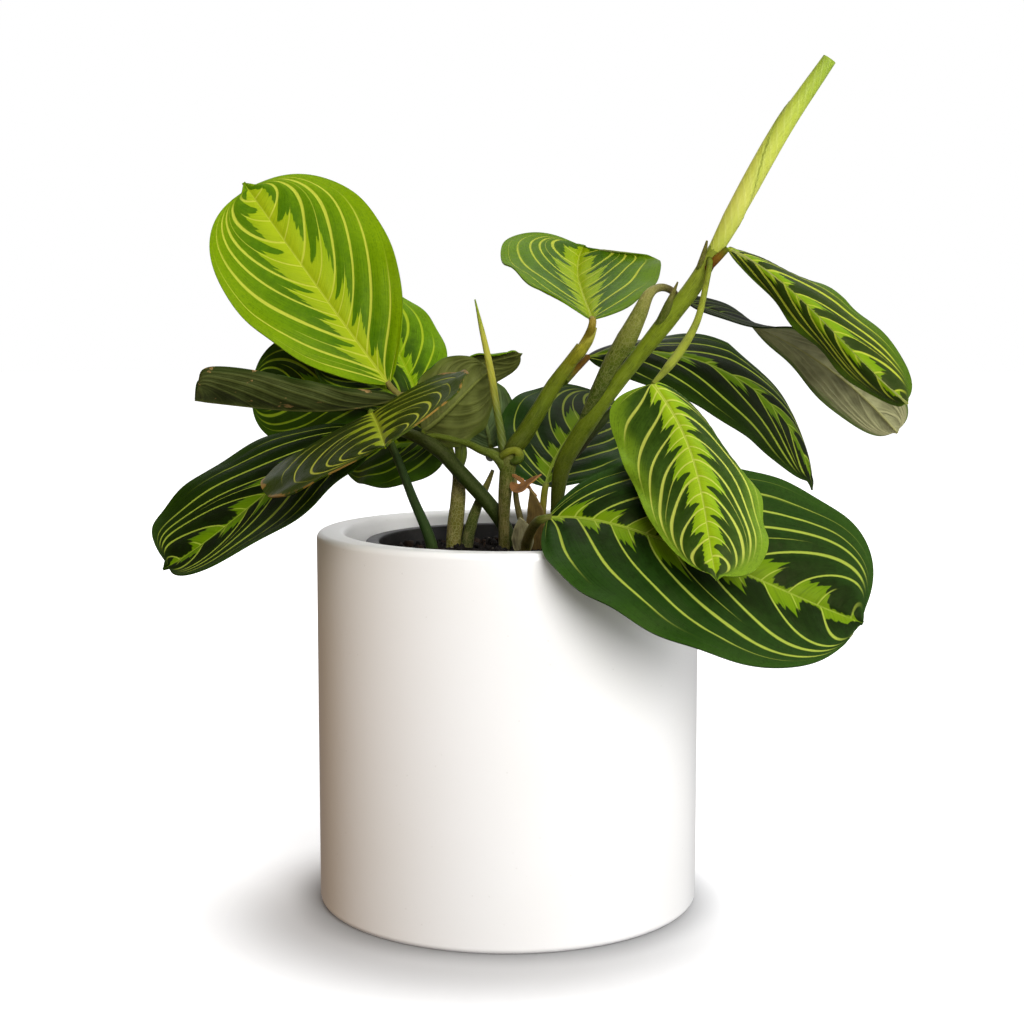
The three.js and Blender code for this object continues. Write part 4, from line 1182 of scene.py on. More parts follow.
def half_width(leaf, t):
    tip = tip_share(leaf)
    u = np.minimum(t / (1 - tip), 1)
    power = leaf["blunt"] * leaf["broad"] / (1 - leaf["broad"])
    rounded = (u / leaf["broad"]) ** power * ((1 - u) / (1 - leaf["broad"])) ** leaf["blunt"]
    point = np.where(t > 0.9, TIP_WIDTH * np.minimum(1, (1 - t) / tip), 0)
    return np.maximum(np.maximum(rounded, point), END_WIDTH) * leaf["width"] / 2


def half_value(leaf, key, right):
    values = [{**HALF, **leaf[side]}[key] for side in ("left", "right")]
    return np.where(right, values[1], values[0])


def curl_along(leaf, t, right):
    result = np.zeros_like(t)
    for name, mask in (("left", ~right), ("right", right)):
        curl = {**HALF, **leaf[name]}["curl"]
        result = np.where(mask, np.interp(t, [0, 0.5, 1], curl), result)
    return np.radians(result)


def blade_points(leaf, t, s):
    """Points of a blade at shares t along its rib and s across it, from -1 at the left margin to 1.

    A short point leaves out the end of the rib, so that the rounded part ends where it does on any blade.
    """
    centre, forward = rib_curve(leaf, t * (1 - TIP_SHARE) / (1 - tip_share(leaf)))
    start, end = (np.array(way, dtype=float) for way in leaf["face"])
    up = start + (end - start) * t[:, None]
    up = unit(up - forward * dot(up, forward))
    right_way = np.cross(forward, up)
    right = s > 0
    side = np.where(right, 1.0, -1.0)
    size = np.abs(s)
    reach = half_width(leaf, t) * half_value(leaf, "share", right)
    fold = np.radians(half_value(leaf, "fold", right))
    curl = curl_along(leaf, t, right) * np.minimum(1, reach / CURL_FULL_WIDTH) * size
    bent = np.abs(curl) > 1e-6
    turn = np.where(bent, curl, 1)
    across = np.where(bent, (np.sin(fold + curl) - np.sin(fold)) / turn, np.cos(fold))
    lift = np.where(bent, (np.cos(fold) - np.cos(fold + curl)) / turn, np.sin(fold))
    swing = 2 * math.pi * (half_value(leaf, "waves", right) * t + half_value(leaf, "phase", right))
    ripple = half_value(leaf, "wave", right) * size**2 * np.sin(swing) * np.sin(math.pi * t)
    across = across * size * reach - ripple * np.sin(fold + curl)
    lift = lift * size * reach + ripple * np.cos(fold + curl)
    sweep = half_value(leaf, "sweep", right) * size**2 * reach
    return centre + right_way * (side * across)[:, None] + up * lift[:, None] + forward * sweep[:, None]


def vein_field(leaf, t, s):
    """Vein number, and distance in mm from one vein to the next, at each point of a blade.

    A side vein that leaves the rib at start passes t = start + bend * (start + FAN) * (1 - start), and this
    is solved for start. Slow waves make the veins a little uneven.
    """
    centre, _ = rib_curve(leaf, np.linspace(0, 1, 40))
    length = np.linalg.norm(np.diff(centre, axis=0), axis=1).sum()
    size = np.abs(s)
    share = half_value(leaf, "share", s > 0)
    width = half_width(leaf, t) * share
    lean = leaf["lean"]
    left = MARGIN_END - size
    bend = lean * size + VEIN_BEND * size**2 + MARGIN_RUN * size**6 / left
    slope = lean + 2 * VEIN_BEND * size + MARGIN_RUN * size**5 * (6 * left + size) / left**2
    linear_term = 1 + (1 - FAN) * bend
    root = np.sqrt(np.maximum(linear_term**2 - 4 * bend * (t - FAN * bend), 1e-4))
    start = np.where(bend > 1e-4, (linear_term - root) / np.maximum(2 * bend, 1e-4), t)
    early = np.clip((start + FAN) / (1 + FAN), 0.004, 1)
    number = leaf["veins"] * early**CROWDING
    rate = leaf["veins"] * CROWDING * early ** (CROWDING - 1) / (1 + FAN)
    lengthwise = rate / root / length
    crosswise = rate * (start + FAN) * (1 - start) / root * slope / width
    gap = 1 / np.maximum(np.hypot(lengthwise, crosswise), 1e-4)
    gap = gap * (1 + 30 * np.maximum(0, -0.03 - start))
    phase = leaf["rib"][0][0]
    number = number + 0.1 * np.sin(2.1 * number + phase + 1.3 * s) + 0.05 * np.sin(9 * t + 5 * s + phase)
    return number, np.clip(gap, 0.05, 60), length, width


def model_blade(leaf, thickness, relief, uppermost, underneath):
    """Models one blade from a grid: each vertex goes to its place on the curved and rippled surface."""
    deselect()
    bpy.ops.mesh.primitive_grid_add(x_subdivisions=BLADE_COLUMNS, y_subdivisions=BLADE_ROWS, size=2)
    piece = bpy.context.object
    flat = coordinates(piece.data)
    x = flat[:, 0]
    s = np.clip(x * (COLUMNS_AT_RIB + COLUMNS_AT_MARGIN * np.abs(x)), -1, 1)
    t = (1 - np.cos(math.pi * np.clip((flat[:, 1] + 1) / 2, 0, 1))) / 2
    points = blade_points(leaf, t, s)
    step = 1e-4
    along = blade_points(leaf, np.clip(t + step, 0, 1), s) - blade_points(leaf, np.clip(t - step, 0, 1), s)
    across = blade_points(leaf, t, s + step) - blade_points(leaf, t, s - step)
    normals = unit(np.cross(across, along))
    number, gap, length, width = vein_field(leaf, t, s)
    cycle = (number + np.where(s > 0, SIDE_SHIFT, 0)) % 1
    from_vein = np.minimum(cycle, 1 - cycle) * gap
    from_rib = np.abs(s) * width
    inner = smooth_step(1.0, 0.82, np.abs(s)) * smooth_step(0, 0.06, t) * smooth_step(1, 0.93, t)
    pillow = (1 - hill(from_vein / VEIN_VALLEY)) * (1 - hill(from_rib / RIB_VALLEY))
    valley = hill(from_rib / RIB_GROOVE) * smooth_step(0, 0.05, t)
    crinkle = np.sin(26 * t + 9 * s) * smooth_step(0.6, 1.0, np.abs(s)) * np.sin(math.pi * t)
    height = relief * ((pillow - 0.5) * inner - GROOVE_DEPTH * valley)
    height = height + relief * CRINKLE_DEPTH * leaf.get("ruffle", RUFFLE) * crinkle
    set_coordinates(piece.data, (points + normals * height[:, None]) * MM)
    set_vectors(piece.data, "veins", np.column_stack([number, s, gap]))
    set_vectors(piece.data, "place", np.column_stack([t, t * length, s * width]))
    piece.data.materials.append(uppermost)
    piece.data.materials.append(underneath)
    shell = piece.modifiers.new("shell", "SOLIDIFY")
    shell.thickness = thickness
    shell.offset = 0
    shell.material_offset = 1
    shell.material_offset_rim = 0
    apply_modifiers(piece)
    bpy.ops.object.shade_smooth_by_angle(angle=math.radians(BLADE_SMOOTH_ANGLE))
    return piece


def catmull_rom(points):
    """Even samples along a centripetal curve through the points, and its length."""
    points = [np.array(point, dtype=float) for point in points]
    padded = [2 * points[0] - points[1]] + points + [2 * points[-1] - points[-2]]
    samples = []
    for p0, p1, p2, p3 in zip(padded, padded[1:], padded[2:], padded[3:]):
        knots = [0.0]
        for a, b in ((p0, p1), (p1, p2), (p2, p3)):
            knots.append(knots[-1] + max(np.linalg.norm(b - a), 1e-6) ** 0.5)
        k0, k1, k2, k3 = knots
        for k in np.linspace(k1, k2, CURVE_STEPS, endpoint=False):
            a1 = ((k1 - k) * p0 + (k - k0) * p1) / (k1 - k0)
            a2 = ((k2 - k) * p1 + (k - k1) * p2) / (k2 - k1)
            a3 = ((k3 - k) * p2 + (k - k2) * p3) / (k3 - k2)
            b1 = ((k2 - k) * a1 + (k - k0) * a2) / (k2 - k0)
            b2 = ((k3 - k) * a2 + (k - k1) * a3) / (k3 - k1)
            samples.append(((k2 - k) * b1 + (k - k1) * b2) / (k2 - k1))
    samples.append(points[-1])
    samples = np.array(samples)
    travelled = np.concatenate([[0], np.cumsum(np.linalg.norm(np.diff(samples, axis=0), axis=1))])
    return samples, travelled


def carried_frames(samples):
    """Two directions square to a curve at each sample, carried along it without twisting."""
    forward = unit(np.gradient(samples, axis=0))
    side = np.cross(forward[0], ASKEW)
    first = []
    for way in forward:
        side = side - way * np.dot(side, way)
        side = side / np.linalg.norm(side)
        first.append(side)
    first = np.array(first)
    return first, np.cross(forward, first)


def model_tube(points, radii, sides, tints, finish, ridges=0.0, swell=None):
    """Models a tapering tube: a cylinder cut into rings, each moved to its place on the curve."""
    samples, travelled = catmull_rom(points)
    length = travelled[-1]
    rings = max(FEWEST_RINGS, int(length * RINGS_PER_MM))
    deselect()
    bpy.ops.mesh.primitive_cylinder_add(vertices=sides, radius=1, depth=2, end_fill_type="TRIFAN")
    piece = bpy.context.object
    bpy.ops.object.mode_set(mode="EDIT")
    bpy.ops.mesh.select_all(action="DESELECT")
    cage = bmesh.from_edit_mesh(piece.data)
    for edge in cage.edges:
        a, b = (vertex.co for vertex in edge.verts)
        edge.select = abs(a.z - b.z) > 1
    bmesh.update_edit_mesh(piece.data)
    bpy.ops.mesh.subdivide(number_cuts=rings - 1)
    bpy.ops.object.mode_set(mode="OBJECT")
    flat = coordinates(piece.data)
    share = np.clip((flat[:, 2] + 1) / 2, 0, 1)
    angle = np.arctan2(flat[:, 1], flat[:, 0])
    out = np.hypot(flat[:, 0], flat[:, 1])
    where = share * length
    centre = np.column_stack([np.interp(where, travelled, samples[:, i]) for i in range(3)])
    first, second = carried_frames(samples)
    first = unit(np.column_stack([np.interp(where, travelled, first[:, i]) for i in range(3)]))
    second = unit(np.column_stack([np.interp(where, travelled, second[:, i]) for i in range(3)]))
    radius = np.interp(share, np.linspace(0, 1, len(radii)), radii)
    if swell is not None:
        radius = radius * swell(share, where, angle)
    broad = np.sin(BROAD_RIDGES * angle + RIDGE_TWIST * where)
    ridge = 1 + ridges * (0.5 * broad + 0.5 * np.sin(FINE_RIDGES * angle + 1.3))
    wide = (radius * ridge * out)[:, None]
    spot = centre + first * np.cos(angle)[:, None] * wide + second * np.sin(angle)[:, None] * wide
    set_coordinates(piece.data, spot * MM)
    colours = np.array([pigment(tint)[:3] for tint in tints])
    blend = [np.interp(share, np.linspace(0, 1, len(colours)), colours[:, i]) for i in range(3)]
    set_tints(piece.data, np.column_stack(blend))
    set_vectors(piece.data, "stalk", np.column_stack([where, np.abs(angle), radius]))
    set_vectors(piece.data, "finish", finish(share, where, angle))
    return piece


def join(pieces):
    deselect()
    for piece in pieces:
        piece.select_set(True)
    bpy.context.view_layer.objects.active = pieces[0]
    if len(pieces) > 1:
        bpy.ops.object.join()
    return bpy.context.object


def leaf_joint(name, bent_back):
    """The points that bring a stalk to the base of its leaf."""
    centre, forward = rib_curve(LEAVES[name], np.array([0.0]))
    backs = [0.0] if bent_back else [APPROACH, -LEAF_JOINT_OVERLAP]
    return [list(centre[0] - forward[0] * back) for back in backs]


def select_faces(piece, test):
    """In edit mode, selects the faces whose centre and normal pass the test."""
    cage = bmesh.from_edit_mesh(piece.data)
    bpy.ops.mesh.select_all(action="DESELECT")
    bpy.ops.mesh.select_mode(type="FACE")
    for face in cage.faces:
        if test(face.calc_center_median(), face.normal):
            face.select_set(True)
    bmesh.update_edit_mesh(piece.data)


def select_edges(piece, test):
    """In edit mode, selects the edges whose two ends pass the test."""
    cage = bmesh.from_edit_mesh(piece.data)
    bpy.ops.mesh.select_all(action="DESELECT")
    bpy.ops.mesh.select_mode(type="EDGE")
    for edge in cage.edges:
        if test(*(vertex.co for vertex in edge.verts)):
            edge.select_set(True)
    bmesh.update_edit_mesh(piece.data)


def is_ring(radius, height):
    """A test for the edges of the level circle of that radius at that height."""

    def test(a, b):
        level = all(abs(p.z - height) < ON_RING for p in (a, b))
        return level and all(abs(math.hypot(p.x, p.y) - radius) < ON_RING for p in (a, b))

    return test


class PlanterSizes(bpy.types.PropertyGroup):
    """Sizes and colours of the planter, the pot inside it and the soil"""

    radius: bpy.props.FloatProperty(
        name="Radius", description="Outer radius of the planter", default=0.075, unit="LENGTH")
    height: bpy.props.FloatProperty(
        name="Height", description="Height of the planter", default=0.147, unit="LENGTH")
    wall: bpy.props.FloatProperty(
        name="Wall", description="Thickness of the planter's wall", default=0.011, unit="LENGTH")
    floor: bpy.props.FloatProperty(
        name="Floor", description="Thickness of the planter's floor", default=0.010, unit="LENGTH")
    edge: bpy.props.FloatProperty(
        name="Edge", description="Radius of the rounded edges", default=0.0025, unit="LENGTH")
    lip_radius: bpy.props.FloatProperty(
        name="Lip", description="Outer radius of the nursery pot's lip", default=0.056, unit="LENGTH")
    lip_top: bpy.props.FloatProperty(
        name="Lip top", description="Height of the nursery pot's lip", default=0.143, unit="LENGTH")
    lip_height: bpy.props.FloatProperty(
        name="Lip height", description="Depth of the rolled lip", default=0.004, unit="LENGTH")
    mouth: bpy.props.FloatProperty(
        name="Mouth", description="Inner radius of the nursery pot's mouth", default=0.0507, unit="LENGTH")
    foot: bpy.props.FloatProperty(
        name="Foot", description="Outer radius of the nursery pot's foot", default=0.043, unit="LENGTH")
    glaze: bpy.props.FloatVectorProperty(
        name="Glaze", description="Colour of the planter", default=(0.93, 0.925, 0.915), subtype="COLOR")
    plastic: bpy.props.FloatVectorProperty(
        name="Plastic", description="Colour of the nursery pot", default=(0.006, 0.0055, 0.005),
        subtype="COLOR")
    # Kept very dark: the moist peat's own colour, darkened further by painted shade from the leaves over it
    soil: bpy.props.FloatVectorProperty(
        name="Soil", description="Colour of the soil", default=(0.006, 0.004, 0.0025), subtype="COLOR")
    crumbs: bpy.props.IntProperty(
        name="Crumbs", description="Loose crumbs on the soil", default=420, min=0, max=1000)


class FoliageSizes(bpy.types.PropertyGroup):
    """Sizes that all leaves and stalks share"""

    thickness: bpy.props.FloatProperty(
        name="Blade", description="Thickness of a leaf blade", default=0.0006, unit="LENGTH")
    relief: bpy.props.FloatProperty(
        name="Relief", description="How far the fields between the veins swell", default=0.0005,
        unit="LENGTH")
    husk: bpy.props.FloatProperty(
        name="Husk", description="Thickness of a dried sheath", default=0.0006, unit="LENGTH")


class StageLook(bpy.types.PropertyGroup):
    """Camera, floor and light"""

    camera_place: bpy.props.FloatVectorProperty(
        name="Camera", description="Where the camera stands", default=(0.00166, -0.720, 0.2346),
        subtype="TRANSLATION", unit="LENGTH")
    camera_dip: bpy.props.FloatProperty(
        name="Dip", description="How far the camera looks down", default=math.radians(6.41),
        unit="ROTATION")
    focal_length: bpy.props.FloatProperty(
        name="Focal length", description="Focal length on a 36 mm sensor", default=64.63, unit="CAMERA")
    floor: bpy.props.FloatVectorProperty(
        name="Floor", description="Colour of the floor", default=(0.6, 0.6, 0.605), subtype="COLOR")
    key: bpy.props.FloatProperty(
        name="Key", description="Power of the large soft light", default=20.5, unit="POWER")
    top: bpy.props.FloatProperty(
        name="Top", description="Power of the light above", default=11.0, unit="POWER")
    side: bpy.props.FloatProperty(
        name="Side", description="Power of the light from the right", default=6.0, unit="POWER")
    back: bpy.props.FloatProperty(
        name="Back", description="Power of the light from behind", default=3.0, unit="POWER")


class PLANT_OT_planter(bpy.types.Operator):
    """Models the white ceramic cylinder"""

    bl_idname = "plant.planter"
    bl_label = "Planter"

    def execute(self, context):
        sizes = context.scene.planter_sizes
        deselect()
        bpy.ops.mesh.primitive_cylinder_add(
            vertices=PLANTER_SIDES, radius=sizes.radius, depth=sizes.height,
            location=(0, 0, sizes.height / 2))
        piece = context.object
        settle_transform(piece)
        bpy.ops.object.mode_set(mode="EDIT")
        select_faces(piece, lambda centre, normal: normal.z > 0.9)
        bpy.ops.mesh.inset(thickness=sizes.wall)
        drop = sizes.height - sizes.floor
        bpy.ops.mesh.extrude_region_move(TRANSFORM_OT_translate={"value": (0, 0, -drop)})
        inner = sizes.radius - sizes.wall
        for radius, height, size in (
            (sizes.radius, 0, sizes.edge),
            (sizes.radius, sizes.height, sizes.edge),
            (inner, sizes.height, sizes.edge),
            (inner, sizes.floor, 2 * sizes.edge),
        ):
            select_edges(piece, is_ring(radius, height))
            bpy.ops.mesh.bevel(offset=size, segments=PLANTER_BEVELS, affect="EDGES")
        bpy.ops.object.mode_set(mode="OBJECT")
        bpy.ops.object.shade_smooth_by_angle(angle=math.radians(POT_SMOOTH_ANGLE))
        piece.data.materials.append(glaze_finish(sizes.glaze))
        dress(piece, "planter")
        return {"FINISHED"}


class PLANT_OT_nursery_pot(bpy.types.Operator):
    """Models the thin black pot that stands inside the planter"""

    bl_idname = "plant.nursery_pot"
    bl_label = "Nursery pot"

    def execute(self, context):
        sizes = context.scene.planter_sizes
        foot = sizes.floor + NURSERY_CLEARANCE
        under_lip = sizes.lip_top - sizes.lip_height
        outer_mouth = sizes.mouth + NURSERY_WALL
        deselect()
        bpy.ops.mesh.primitive_cone_add(
            vertices=NURSERY_SIDES, radius1=sizes.foot, radius2=outer_mouth, depth=under_lip - foot,
            location=(0, 0, (under_lip + foot) / 2))
        piece = context.object
        settle_transform(piece)
        bpy.ops.object.mode_set(mode="EDIT")
        select_faces(piece, lambda centre, normal: normal.z > 0.9)
        bpy.ops.mesh.extrude_region_move(TRANSFORM_OT_translate={"value": (0, 0, 0)})
        widen = sizes.lip_radius / outer_mouth
        bpy.ops.transform.resize(value=(widen, widen, 1), center_override=(0, 0, under_lip))
        bpy.ops.mesh.extrude_region_move(TRANSFORM_OT_translate={"value": (0, 0, sizes.lip_height)})
        bpy.ops.mesh.inset(thickness=sizes.lip_radius - sizes.mouth)
        drop = sizes.lip_top - foot - NURSERY_WALL
        bpy.ops.mesh.extrude_region_move(TRANSFORM_OT_translate={"value": (0, 0, -drop)})
        shrink = (sizes.foot - NURSERY_WALL) / sizes.mouth
        bpy.ops.transform.resize(value=(shrink, shrink, 1), center_override=(0, 0, foot + NURSERY_WALL))
        for radius, height, size in (
            (sizes.lip_radius, sizes.lip_top, LIP_ROUND),
            (sizes.lip_radius, under_lip, LIP_UNDERSIDE_ROUND),
            (sizes.mouth, sizes.lip_top, MOUTH_ROUND),
        ):
            select_edges(piece, is_ring(radius, height))
            bpy.ops.mesh.bevel(offset=size, segments=NURSERY_BEVELS, affect="EDGES")
        bpy.ops.object.mode_set(mode="OBJECT")
        bpy.ops.object.shade_smooth_by_angle(angle=math.radians(POT_SMOOTH_ANGLE))
        piece.data.materials.append(black_plastic_finish(sizes.plastic))
        dress(piece, "nursery_pot")
        return {"FINISHED"}


class PLANT_OT_soil(bpy.types.Operator):
    """Models the filled pot of soil, its lumps and its loose crumbs"""

    bl_idname = "plant.soil"
    bl_label = "Soil"

    def execute(self, context):
        sizes = context.scene.planter_sizes
        chance = np.random.default_rng(SOIL_SEED)
        deselect()
        bpy.ops.mesh.primitive_grid_add(x_subdivisions=SOIL_GRID, y_subdivisions=SOIL_GRID, size=2)
        piece = context.object
        x, y, _ = coordinates(piece.data).T
        foot = SOIL_FOOT * np.column_stack([x * np.sqrt(1 - y * y / 2), y * np.sqrt(1 - x * x / 2)])
        set_coordinates(piece.data, np.column_stack([foot, np.full(len(x), SOIL_BOTTOM)]) * MM)
        bpy.ops.object.mode_set(mode="EDIT")
        bpy.ops.mesh.select_all(action="SELECT")
        rise = (SOIL_EDGE - SOIL_BOTTOM) * MM
        bpy.ops.mesh.extrude_region_move(TRANSFORM_OT_translate={"value": (0, 0, rise)})
        bpy.ops.object.mode_set(mode="OBJECT")
        points = coordinates(piece.data) / MM
        top = points[:, 2] > (SOIL_BOTTOM + SOIL_EDGE) / 2
        points[top, :2] *= SOIL_RADIUS / SOIL_FOOT
        x, y, _ = points.T
        lumps = np.zeros(len(points))
        for size, height in LUMPS:
            shift = chance.uniform(0, 6, 4)
            lumps += height * np.sin(x / size * 2 + shift[0] + 1.3 * np.sin(y / size + shift[1]))
            lumps += height * np.sin(y / size * 2 + shift[2] + 1.3 * np.sin(x / size + shift[3]))
        far = np.hypot(x, y)
        lift = np.where(far < SOIL_RADIUS - RIM_WIDTH, lumps * LUMP_SHARE, -RIM_DROP)
        points[top, 2] = (self.surface_height(far) + lift)[top]
        set_coordinates(piece.data, points * MM)
        piece.data.materials.append(soil_finish(sizes.soil))
        bpy.ops.object.shade_smooth_by_angle(angle=math.radians(SOIL_SMOOTH_ANGLE))
        dress(join([piece] + self.scatter(chance, sizes.crumbs)), "soil")
        return {"FINISHED"}

    def surface_height(self, far):
        """Height of the domed surface at this distance from the middle."""
        return SOIL_EDGE + (SOIL_CROWN - SOIL_EDGE) * (1 - (far / SOIL_RADIUS) ** 2)

    def scatter(self, chance, count):
        """Three kinds of crumb, each modelled once and copied over the soil as one mesh."""
        made = []
        for name, colour, share, (small, large) in CRUMBS:
            deselect()
            bpy.ops.mesh.primitive_ico_sphere_add(subdivisions=2, radius=1)
            crumb = bpy.context.object
            shape = coordinates(crumb.data)
            bulges = 0.28 * np.sin(3.1 * shape[:, :1] + 2.3) + 0.22 * np.sin(4.7 * shape[:, 1:2])
            shape = shape * (1 + bulges)
            faces = np.array([list(face.vertices) for face in crumb.data.polygons])
            points, corners = [], []
            for i in range(int(count * share)):
                angle = chance.uniform(0, 2 * math.pi)
                far = SOIL_RADIUS * math.sqrt(chance.uniform(0, 0.93))
                size = chance.uniform(small, large)
                stretch = size * chance.uniform(0.55, 1.25, 3)
                turn = np.array(Matrix.Rotation(chance.uniform(0, 6), 3, Vector(chance.normal(size=3))))
                height = self.surface_height(far) + 0.3 * size
                place = np.array([far * math.cos(angle), far * math.sin(angle), height])
                points.append((shape * stretch) @ turn.T + place)
                corners.append(faces + i * len(shape))
            crumb.data.clear_geometry()
            points, corners = np.concatenate(points) * MM, np.concatenate(corners)
            crumb.data.from_pydata(points.tolist(), [], corners.tolist())
            crumb.data.materials.clear()
            crumb.data.materials.append(crumb_finish(name, colour))
            crumb.data.shade_smooth()
            made.append(crumb)
        return made


class PLANT_OT_stems(bpy.types.Operator):
    """Models the stems with the stalks that grow from them"""

    bl_idname = "plant.stems"
    bl_label = "Stems and stalks"

    def execute(self, context):
        skin = stalk_finish()
        for name, stem in STEMS.items():
            x, y = stem["root"]
            tubes = []
            for i, stalk in enumerate(stem["stalks"]):
                points = list(stalk["points"])
                if i == 0:
                    points = [[x, y, SOIL_CROWN - ROOT_DEPTH], [x, y, SOIL_CROWN]] + points
                if "leaf" in stalk:
                    points = points + leaf_joint(stalk["leaf"], stalk.get("bent_back", False))

                def finish(share, where, angle):
                    return np.tile(stalk["finish"], (len(share), 1))

                ridges = RIDGE_DEPTH * stalk["finish"][0]
                tubes.append(
                    model_tube(points, stalk["radii"], STALK_SIDES, stalk["tints"], finish, ridges))
            piece = join(tubes)
            piece.data.materials.append(skin)
            bpy.ops.object.shade_smooth_by_angle(angle=math.radians(STALK_SMOOTH_ANGLE))
            dress(piece, name)
        return {"FINISHED"}


class PLANT_OT_rolled_leaves(bpy.types.Operator):
    """Models the new leaves that are still rolled up, with the free edge winding round"""

    bl_idname = "plant.rolled_leaves"
    bl_label = "Rolled leaves"

    def execute(self, context):
        skin = rolled_finish()
        for name, roll in ROLLED.items():
            turns = roll["turns"]

            def winding(share, angle):
                return (angle / (2 * math.pi) + turns * share + EDGE_START) % 1

            def swell(share, where, angle):
                return ROLL_START + ROLL_GROWTH * winding(share, angle)

            def finish(share, where, angle):
                wind = winding(share, angle)
                seam = hill(np.minimum(wind, 1 - wind) / SEAM_WIDTH)
                return np.column_stack([seam, wind + share * VEIN_SLANT, share])

            piece = model_tube(
                roll["points"], roll["radii"], ROLLED_SIDES, roll["tints"], finish, swell=swell)
            piece.data.materials.append(skin)
            bpy.ops.object.shade_smooth_by_angle(angle=math.radians(STALK_SMOOTH_ANGLE))
            dress(piece, name)
        return {"FINISHED"}


class PLANT_OT_leaves(bpy.types.Operator):
    """Models the open leaves, each with its veins in relief"""

    bl_idname = "plant.leaves"
    bl_label = "Leaves"

    def execute(self, context):
        sizes = context.scene.foliage_sizes
        upper = {name: leaf_upper_finish(name) for name in UPPER}
        lower = {name: leaf_lower_finish(name) for name in LOWER}
        for name, leaf in LEAVES.items():
            skins = upper[leaf["upper"]], lower[leaf["lower"]]
            dress(model_blade(leaf, sizes.thickness, sizes.relief / MM, *skins), name)
        return {"FINISHED"}


class PLANT_OT_sheaths(bpy.types.Operator):
    """Models the dried sheaths at the foot of the shoots"""

    bl_idname = "plant.sheaths"
    bl_label = "Dried sheaths"

    def execute(self, context):
        sizes = context.scene.foliage_sizes
        for name, husk in SHEATHS.items():
            skin = husk_finish("husk_" + name, husk["colour"])
            blades = [{**husk, **HUSK_VEINS}]
            if "crossing" in husk:
                blades.append({**blades[0], **husk["crossing"]})
            dress(join([model_blade(blade, sizes.husk, HUSK_RELIEF, skin, skin) for blade in blades]), name)
        return {"FINISHED"}


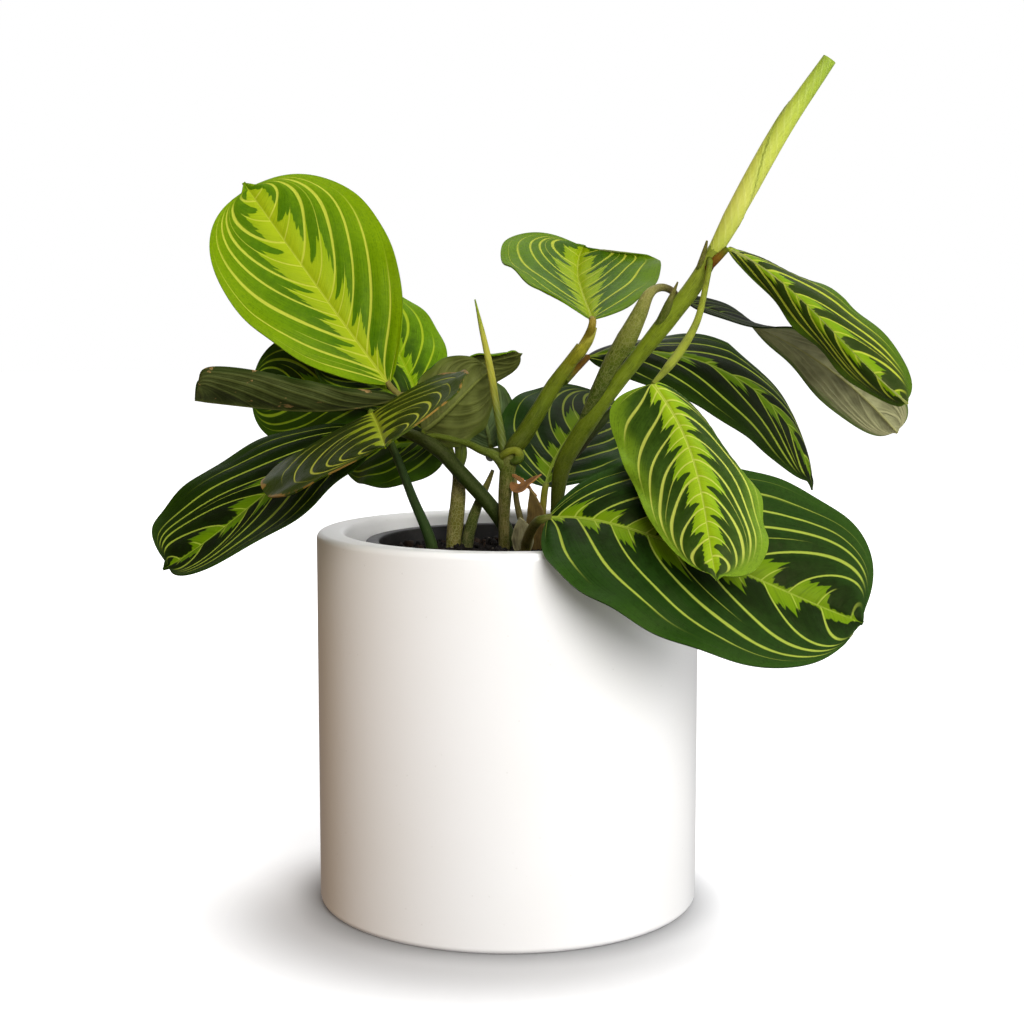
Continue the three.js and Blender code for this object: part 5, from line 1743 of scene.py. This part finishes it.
class PLANT_OT_stage(bpy.types.Operator):
    """Sets the camera, the pale floor and the soft studio light"""

    bl_idname = "plant.stage"
    bl_label = "Stage"

    def execute(self, context):
        look = context.scene.stage_look
        deselect()
        tilt = math.pi / 2 - look.camera_dip
        bpy.ops.object.camera_add(location=look.camera_place, rotation=(tilt, 0, 0))
        camera = context.object
        camera.name = "camera"
        camera.data.sensor_width = SENSOR_WIDTH
        camera.data.lens = look.focal_length
        camera.data.clip_start = NEAREST_VIEW
        bpy.context.scene.camera = camera
        deselect()
        bpy.ops.mesh.primitive_circle_add(vertices=FLOOR_SIDES, radius=FLOOR_RADIUS, fill_type="NGON")
        floor = context.object
        floor.name = "studio_floor"
        floor.data.materials.append(floor_finish(look.floor))
        floor.visible_diffuse = False
        floor.visible_glossy = False
        for name, lamp in LAMPS.items():
            self.light(name + "_light", getattr(look, name), **lamp)
        self.surroundings()
        context.scene.view_settings.view_transform = "Standard"
        context.scene.view_settings.look = "None"
        return {"FINISHED"}

    def light(self, name, power, place, target, size, colour):
        bpy.ops.object.light_add(type="AREA", location=place)
        lamp = bpy.context.object
        lamp.name = name
        way = Vector(target) - Vector(place)
        lamp.rotation_euler = way.to_track_quat("-Z", "Y").to_euler()
        lamp.data.shape = "DISK"
        lamp.data.size = size
        lamp.data.energy = power
        lamp.data.color = colour

    def surroundings(self):
        """White to the camera; as light, brighter from the right and a warm dim bounce from the left."""
        world = bpy.data.worlds.new("studio_air")
        bpy.context.scene.world = world
        world.use_nodes = True
        tree = world.node_tree
        tree.nodes.clear()
        place = tree.nodes.new("ShaderNodeTexCoord")
        axes = tree.nodes.new("ShaderNodeSeparateXYZ")
        ramp = tree.nodes.new("ShaderNodeValToRGB")
        half = tree.nodes.new("ShaderNodeMapRange")
        half.inputs["From Min"].default_value = -1
        Finish.set_stops(ramp.color_ramp, AIR)
        glow = tree.nodes.new("ShaderNodeBackground")
        white = tree.nodes.new("ShaderNodeBackground")
        white.inputs["Color"].default_value = (1, 1, 1, 1)
        path = tree.nodes.new("ShaderNodeLightPath")
        both = tree.nodes.new("ShaderNodeMixShader")
        output = tree.nodes.new("ShaderNodeOutputWorld")
        link = tree.links.new
        link(place.outputs["Generated"], axes.inputs[0])
        link(axes.outputs["X"], half.inputs["Value"])
        link(half.outputs["Result"], ramp.inputs[0])
        link(ramp.outputs[0], glow.inputs["Color"])
        link(path.outputs["Is Camera Ray"], both.inputs[0])
        link(glow.outputs[0], both.inputs[1])
        link(white.outputs[0], both.inputs[2])
        link(both.outputs[0], output.inputs["Surface"])


PIECES = (
    PLANT_OT_planter, PLANT_OT_nursery_pot, PLANT_OT_soil, PLANT_OT_stems, PLANT_OT_rolled_leaves,
    PLANT_OT_leaves, PLANT_OT_sheaths, PLANT_OT_stage,
)
GROUPS = {"planter_sizes": PlanterSizes, "foliage_sizes": FoliageSizes, "stage_look": StageLook}


class PLANT_PT_panel(bpy.types.Panel):
    """Lists the sizes and the pieces"""

    bl_idname = "PLANT_PT_panel"
    bl_label = "Prayer plant"
    bl_space_type = "VIEW_3D"
    bl_region_type = "UI"
    bl_category = "Prayer plant"

    def draw(self, context):
        for name, group in GROUPS.items():
            box = self.layout.box()
            for field in group.__annotations__:
                box.prop(getattr(context.scene, name), field)
        for piece in PIECES:
            self.layout.operator(piece.bl_idname)


def register():
    for group in GROUPS.values():
        bpy.utils.register_class(group)
    for piece in PIECES:
        bpy.utils.register_class(piece)
    bpy.utils.register_class(PLANT_PT_panel)
    for name, group in GROUPS.items():
        setattr(bpy.types.Scene, name, bpy.props.PointerProperty(type=group))


def unregister():
    for name in GROUPS:
        delattr(bpy.types.Scene, name)
    bpy.utils.unregister_class(PLANT_PT_panel)
    for piece in reversed(PIECES):
        bpy.utils.unregister_class(piece)
    for group in GROUPS.values():
        bpy.utils.unregister_class(group)


def main():
    register()
    bpy.ops.plant.planter()
    bpy.ops.plant.nursery_pot()
    bpy.ops.plant.soil()
    bpy.ops.plant.stems()
    bpy.ops.plant.rolled_leaves()
    bpy.ops.plant.leaves()
    bpy.ops.plant.sheaths()
    bpy.ops.plant.stage()


if __name__ == "__main__":
    main()
